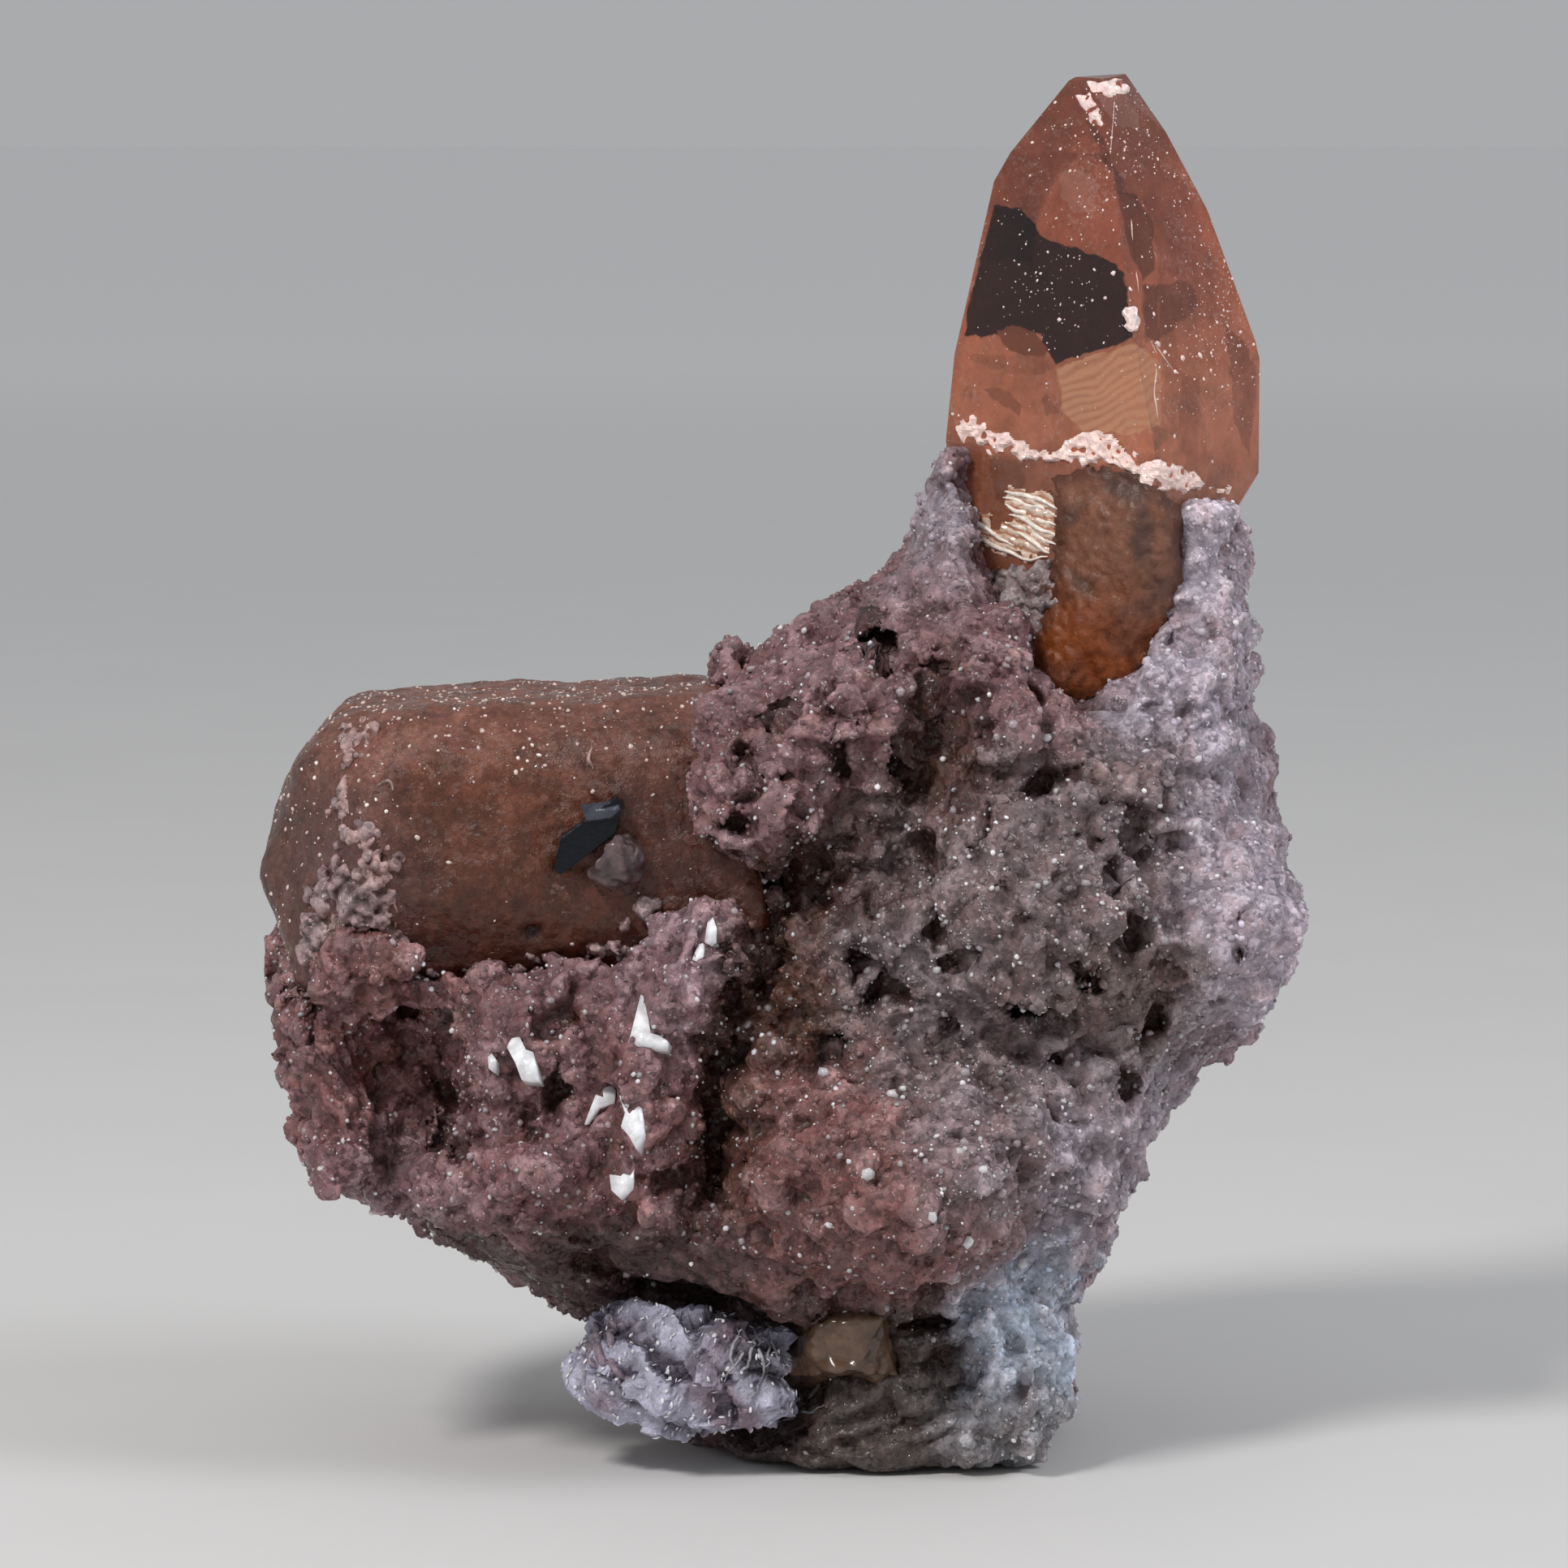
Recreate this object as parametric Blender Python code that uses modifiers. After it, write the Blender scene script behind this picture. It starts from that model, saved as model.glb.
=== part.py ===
# Topaz hand specimen: two topaz crystals in a grainy, vuggy matrix that stands on its flat-cut foot.
# Lengths are written in millimetres and turned into metres by MM. +X is right and -Y is towards the viewer.

import math

import bmesh
import bpy
from mathutils import Matrix, Vector

MM = 0.001
GAP = 0.3                      # clearance between neighbouring pieces
SPHERE_STEPS = 3               # subdivisions of the round lumps
CRYSTAL_BLOCK = 80.0           # side of the block that a crystal is cut from
CUT_TOLERANCE = 1e-8           # metres within which a point lies on a cut
TOPAZ_IOR = 1.62
TOPAZ_CLEARNESS = 0.8

ROCK_GRID = 0.5                # grid on which the matrix's lumps are fused
HOLLOW_GRID = 0.25             # grid on which its hollows are fused
ROCK_SKIN_GRID = 0.48          # grid of its weathered skin
ROCK_KEEP = 0.20               # share of the skin's faces that is kept
ROCK_LUMP_NOISE = (2.6, 1.7)   # width and height of the skin's lumps
ROCK_GRAIN_NOISE = (1.1, 0.8)  # and of its grains
SECTION_SIDES = 40
SECTION_POWER = 2.5            # 2 is an ellipse, more is squarer

# The matrix from its foot up, each row giving height, left, right, front and back.
MATRIX_SECTIONS = (
    (-1.0, -2.6, 9.0, -5.4, 7.6),
    (0.3, -3.5, 9.5, -5.8, 8.0),
    (1.8, -5.0, 9.7, -5.8, 8.0),
    (3.2, -5.6, 9.4, -5.2, 8.2),
    (4.6, -6.8, 9.2, -5.2, 8.4),
    (5.6, -8.8, 10.2, -6.2, 8.6),
    (6.8, -10.9, 11.1, -7.4, 9.0),
    (8.1, -12.8, 11.5, -7.8, 9.4),
    (9.3, -15.3, 12.0, -7.8, 9.6),
    (11.7, -16.4, 13.2, -7.6, 10.0),
    (13.1, -16.8, 14.2, -7.6, 10.2),
    (14.5, -16.9, 15.6, -7.6, 10.4),
    (15.9, -17.0, 17.1, -7.6, 10.4),
    (17.2, -17.0, 17.6, -7.6, 10.4),
    (18.0, -5.5, 17.6, -7.4, 10.3),
    (20.3, -4.9, 17.1, -7.4, 10.2),
    (22.0, -4.7, 16.8, -7.4, 9.9),
    (23.6, -4.5, 16.5, -7.4, 9.6),
    (25.0, -4.2, 16.2, -7.2, 9.2),
    (26.4, -2.6, 15.9, -6.8, 8.6),
    (27.5, -0.1, 15.8, -6.4, 8.2),
    (28.5, 1.7, 15.7, -5.8, 7.9),
    (29.9, 3.6, 15.8, -5.2, 7.6),
    (31.3, 4.3, 15.95, -4.8, 7.2),
    (32.7, 4.7, 16.1, -4.6, 6.8),
    (33.5, 5.2, 15.9, -4.0, 6.2),
)

# Rounded masses on the matrix: centre, half sizes and lean in degrees about Y.
LUMPS = {
    "shoulder_ridge": ((1.5, -3.8, 25.6), (4.8, 5.0, 2.2), -8),
    "shoulder_mass": ((-0.5, -4.6, 23.3), (3.1, 4.5, 3.7), 0),
    "ledge_below_crystal": ((7.3, -4.6, 26.1), (2.7, 4.2, 1.2), 42),
    "hump_below_crystal": ((10.2, -4.6, 23.0), (3.4, 4.5, 2.3), 0),
    "right_mass": ((7.9, -4.2, 19.6), (5.9, 5.5, 5.0), 0),
    "right_lobe": ((14.2, -2.4, 18.8), (3.5, 5.6, 3.7), 0),
    "right_flank": ((13.6, -0.8, 26.0), (2.2, 4.6, 6.6), 0),
    "left_crust": ((6.05, 0.2, 32.5), (1.05, 2.8, 2.5), -3),
    "lower_right": ((9.6, -2.4, 11.4), (2.8, 5.4, 4.5), 20),
    "pink_boulder": ((3.3, -5.4, 10.4), (5.3, 5.9, 3.9), 0),
    "boulder_brow": ((6.3, -5.6, 12.6), (3.2, 4.4, 1.6), 28),
    "column_head": ((-3.0, -5.6, 17.7), (1.9, 3.8, 2.4), 18),
    "column_body": ((-4.8, -5.2, 13.2), (1.5, 3.9, 4.2), 14),
    "middle_ledge": ((-8.7, -4.2, 14.6), (2.9, 4.1, 2.3), 0),
    "lower_ledge": ((-8.4, -4.4, 10.8), (3.2, 4.5, 2.4), 0),
    "vug_lip": ((-11.0, -3.8, 9.9), (1.9, 4.1, 1.7), 0),
    "left_rim": ((-13.9, -2.6, 10.9), (2.5, 3.8, 1.6), -10),
    "left_wall": ((-15.5, -1.4, 14.6), (1.5, 4.8, 4.2), 0),
    "crystal_seat": ((-14.2, -4.4, 17.6), (2.2, 2.6, 1.7), -20),
    "bluish_knob": ((7.8, -3.7, 3.2), (2.1, 3.4, 3.1), 0),
    "foot_fold_low": ((3.4, -3.2, 1.1), (4.7, 3.5, 0.9), 3),
    "foot_fold_middle": ((2.8, -3.0, 2.9), (4.6, 3.5, 0.8), -5),
    "foot_fold_high": ((2.6, -3.4, 4.9), (4.9, 3.4, 1.0), 4),
    "back_high": ((6.0, 4.6, 23.0), (7.4, 5.6, 5.6), 25),
    "back_middle": ((9.0, 5.2, 14.0), (6.2, 5.4, 4.4), -20),
    "back_low": ((-1.5, 5.0, 9.8), (7.6, 5.2, 4.8), 10),
    "back_left": ((-11.0, 2.6, 13.0), (5.4, 5.0, 4.2), 0),
    "back_foot": ((3.0, 4.6, 3.0), (5.6, 4.0, 2.6), 0),
}

# Hollows in the matrix, in the same form.
HOLLOWS = {
    "valley_high": ((4.8, -9.3, 24.2), (1.1, 2.6, 2.4), 10),
    "valley_middle": ((3.6, -9.4, 21.2), (1.2, 2.7, 2.2), 25),
    "valley_turn": ((0.8, -9.2, 19.6), (2.5, 2.7, 1.2), 30),
    "valley_low": ((-0.8, -8.8, 17.0), (1.0, 2.9, 2.4), 0),
    "dark_groove": ((-2.1, -8.8, 12.6), (0.9, 2.7, 5.2), 6),
    "deep_vug": ((-12.9, -7.4, 13.2), (2.1, 5.2, 3.2), -8),
    "vug_corner": ((-13.6, -6.8, 10.9), (1.5, 3.2, 1.2), 0),
    "shelf_undercut": ((-6.6, -8.8, 6.5), (6.2, 3.8, 1.3), 8),
    "foot_slot_high": ((4.7, -6.8, 4.0), (1.7, 2.2, 0.45), 5),
    "foot_slot_low": ((3.0, -6.9, 2.0), (2.6, 1.6, 0.4), -5),
    "knob_seam": ((5.7, -6.9, 3.0), (0.5, 2.2, 2.4), 10),
    "back_hollow_high": ((11.4, 10.0, 18.6), (2.6, 2.0, 2.2), 0),
    "back_hollow_low": ((3.8, 11.2, 16.4), (3.4, 2.4, 1.5), 30),
    "back_hollow_left": ((-7.0, 8.6, 14.4), (1.8, 2.2, 2.6), 0),
}

# Round vugs on the front: centre and radius.
PIT_DEPTH = 1.3                # their depth against their radius
PITS = (
    ((3.0, -8.4, 27.4), 0.85),
    ((1.2, -8.6, 26.2), 0.6),
    ((-1.2, -8.8, 25.0), 0.9),
    ((1.9, -9.2, 24.3), 0.75),
    ((-1.5, -9.0, 22.0), 0.6),
    ((11.6, -8.8, 21.9), 0.55),
    ((9.4, -9.6, 20.1), 0.7),
    ((11.0, -8.9, 18.0), 0.8),
    ((15.3, -7.2, 17.6), 0.55),
    ((3.9, -9.2, 15.9), 0.8),
    ((2.0, -8.6, 14.9), 0.7),
    ((11.2, -6.9, 13.6), 0.7),
    ((8.9, -8.4, 14.8), 0.7),
)

# The opening in the matrix that shows the upright crystal's lower front, in the form of the lumps.
WINDOW = (
    ((8.4, -5.2, 31.6), (2.6, 5.2, 3.2), 0),
    ((10.4, -6.4, 30.6), (2.7, 5.0, 3.6), 0),
    ((10.2, -7.0, 27.9), (2.5, 4.8, 2.4), 0),
    ((9.6, -4.4, 34.6), (5.2, 4.2, 2.0), 0),
)
UNDER_FOOT = ((-30.0, -30.0, -10.0), (30.0, 30.0, 0.0))

# Crystal faces: plan direction, steepness of the normal (both in degrees) and a point on the face.
UPRIGHT_FACES = {
    "prism_front_left": (232.5, 4, (12.45, -4.7, 36.0)),
    "prism_front_right": (325, 0, (12.45, -4.7, 36.0)),
    "prism_back_left": (141, 4, (5.65, 0.5, 36.0)),
    "prism_back_right": (54, 0, (16.2, 0.8, 36.0)),
    "shoulder_front_left": (232, 9, (11.7, -3.9, 38.4)),
    "shoulder_front_right": (318, 16, (11.7, -3.9, 38.4)),
    "point_front_left": (232, 26, (9.7, 0.4, 46.9)),
    "point_front_right": (330, 31, (11.75, 0.4, 46.9)),
    "shoulder_back_left": (140, 9, (6.6, 0.5, 41.5)),
    "point_back_left": (132, 29, (9.7, 0.4, 46.9)),
    "shoulder_back_right": (50, 13, (16.2, 0.8, 38.0)),
    "point_back_right": (42, 28, (11.75, 0.4, 46.9)),
    "point_back": (95, 42, (10.4, 3.6, 43.4)),
    "tip_flat": (250, 80, (10.7, -0.2, 46.95)),
    "tip_chip": (295, 48, (11.3, -0.7, 46.5)),
    "root_left": (186, -8, (5.5, 0.5, 34.9)),
    "root_right": (352, -30, (16.2, 0.8, 33.4)),
    "root_back": (90, -14, (10.0, 5.3, 33.0)),
    "root_front": (262, -10, (10.5, -3.9, 30.0)),
    "root_end": (270, -88, (10.0, 0.0, 24.2)),
}
LEFT_FACES = {
    "top": (180, 87, (-7.0, 0.0, 26.1)),
    "top_front": (268, 48, (-8.0, -5.0, 25.6)),
    "front": (271, 5, (-8.0, -6.4, 22.0)),
    "front_low": (268, -33, (-8.0, -6.2, 18.6)),
    "bottom": (270, -86, (-8.0, -3.0, 15.7)),
    "tip_top": (182, 41, (-15.9, 0.0, 24.6)),
    "tip_side": (184, 17, (-17.3, 0.0, 22.0)),
    "tip_low": (176, -24, (-17.6, 0.0, 19.5)),
    "tip_front": (216, 6, (-14.5, -5.9, 21.5)),
    "tip_front_high": (222, 40, (-14.6, -4.6, 24.4)),
    "tip_back": (142, 4, (-14.6, 5.6, 21.5)),
    "back": (90, 3, (-8.0, 6.2, 21.5)),
    "back_high": (92, 46, (-8.0, 5.0, 25.6)),
    "back_low": (90, -38, (-8.0, 5.8, 18.4)),
    "root": (5, 8, (-1.4, 0.0, 21.5)),
}
ETCH_PIT_DEPTH = 0.8           # against their radius
ETCH_PIT_STEPS = 1
LEFT_ETCH_PITS = (
    ((-8.5, -6.9, 23.9), 0.75),
    ((-8.6, -6.3, 17.9), 0.6),
    ((-14.3, -6.1, 22.6), 0.6),
    ((-11.6, -6.9, 20.2), 0.7),
)
FOOT_TOPAZ_FACES = {
    "front": (265, 12, (2.2, -7.1, 4.6)),
    "left": (190, 20, (0.6, -5.6, 4.6)),
    "right": (345, 8, (3.8, -5.6, 4.6)),
    "front_left": (222, -14, (1.0, -6.6, 4.4)),
    "front_right": (312, -10, (3.4, -6.6, 4.4)),
    "top": (250, 74, (2.2, -5.6, 5.9)),
    "bottom": (270, -72, (2.2, -5.6, 3.3)),
    "back": (90, 0, (2.2, -4.0, 4.6)),
}

BLADE_CENTRE = (-6.5, -6.55, 21.9)
BLADE_SIZE = (1.0, 1.5, 3.2)       # width, depth and length
BLADE_LEAN = 44
BLADE_POINT = 34                   # slope of the faces at its ends, in degrees
BLADE_POINT_INSET = 0.3
GRAIN_CENTRE = (-5.6, -7.1, 21.1)
GRAIN_SIZE = (1.05, 0.7, 1.0)
GRAIN_BACK = -6.9                  # its flat back lies on the crystal
GRAIN_STEPS = 2

# The silvery crust on the left of the foot: ribs that run down its front, and the bed they lie in.
CRUST_GRID = 0.4
CRUST_KEEP = 0.34
CRUST_NOISE = (1.2, 0.7)
CRUST_BED = ((-3.2, -4.9, 3.5), (4.6, 3.2, 3.0))
CRUST_RIBS = (
    ((-6.2, -4.4, 4.0), (0.9, 2.0, 1.9), 24),
    ((-5.2, -4.9, 3.6), (0.9, 2.1, 2.1), 12),
    ((-4.0, -5.2, 3.5), (1.1, 2.2, 2.2), -6),
    ((-2.7, -5.4, 3.4), (1.0, 2.2, 2.3), 4),
    ((-1.5, -5.4, 3.5), (1.0, 2.1, 2.1), -12),
    ((-0.4, -5.2, 3.2), (0.8, 1.9, 1.7), -25),
    ((-3.3, -4.4, 3.8), (3.7, 2.0, 1.6), 0),
)

COLOURS = {
    "matrix": ((0.19, 0.14, 0.145), 0.85),
    "upright_topaz": ((0.50, 0.20, 0.11), 0.08),
    "left_topaz": ((0.34, 0.14, 0.08), 0.3),
    "foot_topaz": ((0.30, 0.15, 0.07), 0.2),
    "dark_crystal": ((0.02, 0.015, 0.02), 0.25),
    "grey_grain": ((0.25, 0.22, 0.23), 0.7),
    "silvery_crust": ((0.45, 0.44, 0.50), 0.35),
}
SEE_THROUGH = {"upright_topaz", "left_topaz", "foot_topaz"}


def clear_scene():
    for old in list(bpy.data.objects):
        bpy.data.objects.remove(old, do_unlink=True)


def new_collection(name):
    group = bpy.data.collections.new(name)
    bpy.context.scene.collection.children.link(group)
    return group


def make_material(name):
    colour, roughness = COLOURS[name]
    material = bpy.data.materials.new(name)
    material.use_nodes = True
    shader = material.node_tree.nodes["Principled BSDF"]
    shader.inputs["Base Color"].default_value = (*colour, 1.0)
    shader.inputs["Roughness"].default_value = roughness
    shader.inputs["Metallic"].default_value = 0.0
    if name in SEE_THROUGH:
        shader.inputs["Transmission Weight"].default_value = TOPAZ_CLEARNESS
        shader.inputs["IOR"].default_value = TOPAZ_IOR
    return material


def add_object(name, form, group, anchor):
    mesh = bpy.data.meshes.new(name)
    form.to_mesh(mesh)
    form.free()
    thing = bpy.data.objects.new(name, mesh)
    thing.parent = anchor
    group.objects.link(thing)
    return thing


def add_ellipsoid(form, centre, half_sizes, lean=0.0, steps=SPHERE_STEPS):
    place = Matrix.Translation(Vector(centre) * MM)
    turn = Matrix.Rotation(math.radians(lean), 4, "Y")
    size = Matrix.Diagonal((*(Vector(half_sizes) * MM), 1.0))
    bmesh.ops.create_icosphere(form, subdivisions=steps, radius=1.0, matrix=place @ turn @ size)


def section_ring(form, height, left, right, front, back):
    ring = []
    for step in range(SECTION_SIDES):
        angle = 2.0 * math.pi * step / SECTION_SIDES
        across = math.copysign(abs(math.cos(angle)) ** (2.0 / SECTION_POWER), math.cos(angle))
        along = math.copysign(abs(math.sin(angle)) ** (2.0 / SECTION_POWER), math.sin(angle))
        x = (left + right) / 2 + across * (right - left) / 2
        y = (front + back) / 2 + along * (back - front) / 2
        ring.append(form.verts.new(Vector((x, y, height)) * MM))
    return ring


def add_loft(form, sections):
    rings = [section_ring(form, *section) for section in sections]
    for low, high in zip(rings, rings[1:]):
        for step in range(SECTION_SIDES):
            after = (step + 1) % SECTION_SIDES
            form.faces.new((low[step], low[after], high[after], high[step]))
    form.faces.new(list(reversed(rings[0])))
    form.faces.new(rings[-1])


def face_normal(plan_angle, steepness):
    plan = math.radians(plan_angle)
    rise = math.radians(steepness)
    return Vector((math.cos(plan) * math.cos(rise), math.sin(plan) * math.cos(rise), math.sin(rise)))


def crystal_form(faces, grow=0.0):
    """A block cut down by the crystal's own faces, each moved out by grow."""
    form = bmesh.new()
    points = [Vector(point) for _, _, point in faces.values()]
    middle = sum(points, Vector()) / len(points)
    bmesh.ops.create_cube(form, size=CRYSTAL_BLOCK * MM, matrix=Matrix.Translation(middle * MM))
    for plan_angle, steepness, point in faces.values():
        normal = face_normal(plan_angle, steepness)
        cut_by_plane(form, Vector(point) * MM + normal * grow * MM, normal)
    bmesh.ops.recalc_face_normals(form, faces=form.faces)
    return form


def cut_by_plane(form, point, normal):
    everything = form.verts[:] + form.edges[:] + form.faces[:]
    cut = bmesh.ops.bisect_plane(form, geom=everything, plane_co=point, plane_no=normal,
                                 clear_outer=True, dist=CUT_TOLERANCE)
    rim = [item for item in cut["geom_cut"] if isinstance(item, bmesh.types.BMEdge)]
    if rim:
        bmesh.ops.edgenet_fill(form, edges=rim)


def blade_form(grow=0.0):
    """A flat blade with a sloping face at each end."""
    form = bmesh.new()
    half = [size / 2 for size in BLADE_SIZE]
    bmesh.ops.create_cube(form, size=2.0)
    bmesh.ops.scale(form, vec=[(size + grow) * MM for size in half], verts=form.verts)
    slope = math.radians(BLADE_POINT)
    for side in (-1, 1):
        tip = Vector((0.0, 0.0, side * (half[2] - BLADE_POINT_INSET + grow)))
        normal = Vector((math.cos(slope), 0.0, math.sin(slope))) * side
        cut_by_plane(form, tip * MM, normal)
    turn = Matrix.Rotation(math.radians(BLADE_LEAN), 4, "Y")
    bmesh.ops.transform(form, matrix=Matrix.Translation(Vector(BLADE_CENTRE) * MM) @ turn, verts=form.verts)
    bmesh.ops.recalc_face_normals(form, faces=form.faces)
    return form


def box_form(low, high):
    form = bmesh.new()
    centre = (Vector(low) + Vector(high)) / 2
    size = Vector(high) - Vector(low)
    place = Matrix.Translation(centre * MM) @ Matrix.Diagonal((*(size * MM), 1.0))
    bmesh.ops.create_cube(form, size=1.0, matrix=place)
    return form


def remesh(thing, grid):
    step = thing.modifiers.new("fuse", "REMESH")
    step.mode = "VOXEL"
    step.voxel_size = grid * MM


def boolean(thing, other, operation):
    step = thing.modifiers.new(other.name, "BOOLEAN")
    step.operation = operation
    step.solver = "EXACT"
    step.object = other


def difference(thing, cutter):
    boolean(thing, cutter, "DIFFERENCE")


def roughen(thing, name, noise):
    width, height = noise
    texture = bpy.data.textures.new(name, "CLOUDS")
    texture.noise_scale = width * MM
    step = thing.modifiers.new(name, "DISPLACE")
    step.texture = texture
    step.texture_coords = "LOCAL"
    step.strength = height * MM
    step.mid_level = 0.5


def thin_out(thing, share):
    step = thing.modifiers.new("thin_out", "DECIMATE")
    step.ratio = share
    step.use_collapse_triangulate = True


def make_crystal(name, faces, parts, anchor):
    crystal = add_object(name, crystal_form(faces), parts, anchor)
    crystal.data.materials.append(make_material(name))
    return crystal


def add_cutter(name, form, cutters, anchor):
    cutter = add_object(name, form, cutters, anchor)
    cutter.hide_render = True
    cutter.display_type = "WIRE"
    return cutter


def make_matrix(parts, cutters, anchor):
    form = bmesh.new()
    add_loft(form, MATRIX_SECTIONS)
    for centre, half_sizes, lean in LUMPS.values():
        add_ellipsoid(form, centre, half_sizes, lean)
    matrix = add_object("matrix", form, parts, anchor)
    matrix.data.materials.append(make_material("matrix"))
    remesh(matrix, ROCK_GRID)

    form = bmesh.new()
    for centre, half_sizes, lean in HOLLOWS.values():
        add_ellipsoid(form, centre, half_sizes, lean)
    for centre, radius in PITS:
        add_ellipsoid(form, centre, (radius, radius * PIT_DEPTH, radius))
    hollows = add_cutter("hollows", form, cutters, anchor)
    remesh(hollows, HOLLOW_GRID)
    difference(matrix, hollows)
    roughen(matrix, "rock_lumps", ROCK_LUMP_NOISE)
    roughen(matrix, "rock_grains", ROCK_GRAIN_NOISE)
    remesh(matrix, ROCK_SKIN_GRID)
    thin_out(matrix, ROCK_KEEP)

    for name, faces in (("upright", UPRIGHT_FACES), ("left", LEFT_FACES), ("foot", FOOT_TOPAZ_FACES)):
        difference(matrix, add_cutter(name + "_socket", crystal_form(faces, GAP), cutters, anchor))
    form = bmesh.new()
    for centre, half_sizes, lean in WINDOW:
        add_ellipsoid(form, centre, half_sizes, lean)
    window = add_cutter("window", form, cutters, anchor)
    remesh(window, ROCK_GRID)
    difference(matrix, window)
    difference(matrix, add_cutter("crust_bed", crust_bed_form(GAP), cutters, anchor))
    difference(matrix, add_cutter("under_foot", box_form(*UNDER_FOOT), cutters, anchor))


def crust_bed_form(grow):
    form = bmesh.new()
    centre, half_sizes = CRUST_BED
    add_ellipsoid(form, centre, [size + grow for size in half_sizes])
    return form


def make_crust(parts, cutters, anchor):
    form = bmesh.new()
    for centre, half_sizes, lean in CRUST_RIBS:
        add_ellipsoid(form, centre, half_sizes, lean)
    crust = add_object("silvery_crust", form, parts, anchor)
    crust.data.materials.append(make_material("silvery_crust"))
    remesh(crust, CRUST_GRID)
    roughen(crust, "crust_ribs", CRUST_NOISE)
    remesh(crust, CRUST_GRID)
    thin_out(crust, CRUST_KEEP)
    boolean(crust, add_cutter("crust_outline", crust_bed_form(0.0), cutters, anchor), "INTERSECT")
    difference(crust, cutters.objects["foot_socket"])


def make_left_topaz(parts, cutters, anchor):
    left = make_crystal("left_topaz", LEFT_FACES, parts, anchor)
    form = bmesh.new()
    for centre, radius in LEFT_ETCH_PITS:
        add_ellipsoid(form, centre, (radius, radius, radius * ETCH_PIT_DEPTH), steps=ETCH_PIT_STEPS)
    difference(left, add_cutter("etch_pits", form, cutters, anchor))
    difference(left, add_cutter("blade_socket", blade_form(GAP), cutters, anchor))


def make_blade_and_grain(parts, cutters, anchor):
    blade = add_object("dark_crystal", blade_form(), parts, anchor)
    blade.data.materials.append(make_material("dark_crystal"))
    form = bmesh.new()
    add_ellipsoid(form, GRAIN_CENTRE, GRAIN_SIZE, steps=GRAIN_STEPS)
    cut_by_plane(form, Vector((0.0, GRAIN_BACK, 0.0)) * MM, Vector((0.0, 1.0, 0.0)))
    grain = add_object("grey_grain", form, parts, anchor)
    grain.data.materials.append(make_material("grey_grain"))
    difference(grain, add_cutter("blade_clearance", blade_form(GAP), cutters, anchor))


def outer_box(things):
    scene = bpy.context.evaluated_depsgraph_get()
    points = []
    for thing in things:
        shown = thing.evaluated_get(scene)
        mesh = shown.to_mesh()
        points.extend(shown.matrix_world @ vertex.co for vertex in mesh.vertices)
        shown.to_mesh_clear()
    low = Vector([min(point[axis] for point in points) for axis in range(3)])
    high = Vector([max(point[axis] for point in points) for axis in range(3)])
    return low, high


def main():
    clear_scene()
    parts = new_collection("topaz_crystal")
    cutters = new_collection("cutters")
    anchor = bpy.data.objects.new("specimen", None)
    parts.objects.link(anchor)

    make_matrix(parts, cutters, anchor)
    make_crystal("upright_topaz", UPRIGHT_FACES, parts, anchor)
    make_left_topaz(parts, cutters, anchor)
    make_crystal("foot_topaz", FOOT_TOPAZ_FACES, parts, anchor)
    make_blade_and_grain(parts, cutters, anchor)
    make_crust(parts, cutters, anchor)

    # The origin is below the middle of the whole specimen, at the height of its flat foot.
    low, high = outer_box([thing for thing in parts.objects if thing.type == "MESH"])
    anchor.location = (-(low.x + high.x) / 2, -(low.y + high.y) / 2, -low.z)


main()
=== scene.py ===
import math

import bmesh
import bpy
import numpy as np
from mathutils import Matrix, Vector, noise
from mathutils.bvhtree import BVHTree


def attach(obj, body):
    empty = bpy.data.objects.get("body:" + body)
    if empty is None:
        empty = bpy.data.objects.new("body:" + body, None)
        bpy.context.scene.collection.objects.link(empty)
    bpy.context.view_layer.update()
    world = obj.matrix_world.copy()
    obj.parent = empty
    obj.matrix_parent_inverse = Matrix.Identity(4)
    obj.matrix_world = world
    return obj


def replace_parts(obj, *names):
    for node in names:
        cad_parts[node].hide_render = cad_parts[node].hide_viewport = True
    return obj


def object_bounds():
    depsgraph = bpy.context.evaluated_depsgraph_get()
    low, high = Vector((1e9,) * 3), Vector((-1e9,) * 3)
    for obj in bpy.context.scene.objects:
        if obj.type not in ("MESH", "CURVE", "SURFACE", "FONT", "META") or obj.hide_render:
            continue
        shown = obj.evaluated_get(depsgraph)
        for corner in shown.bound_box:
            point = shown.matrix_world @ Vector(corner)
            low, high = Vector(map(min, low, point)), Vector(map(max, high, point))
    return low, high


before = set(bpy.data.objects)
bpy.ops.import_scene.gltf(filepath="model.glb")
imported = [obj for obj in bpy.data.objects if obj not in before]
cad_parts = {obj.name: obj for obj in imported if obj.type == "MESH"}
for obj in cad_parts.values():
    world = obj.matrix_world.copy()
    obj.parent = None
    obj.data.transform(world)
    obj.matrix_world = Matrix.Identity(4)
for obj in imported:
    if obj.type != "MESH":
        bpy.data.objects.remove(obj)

# Lengths below are millimetres unless a name says otherwise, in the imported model's own frame.
mm = 0.001
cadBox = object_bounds()

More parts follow.
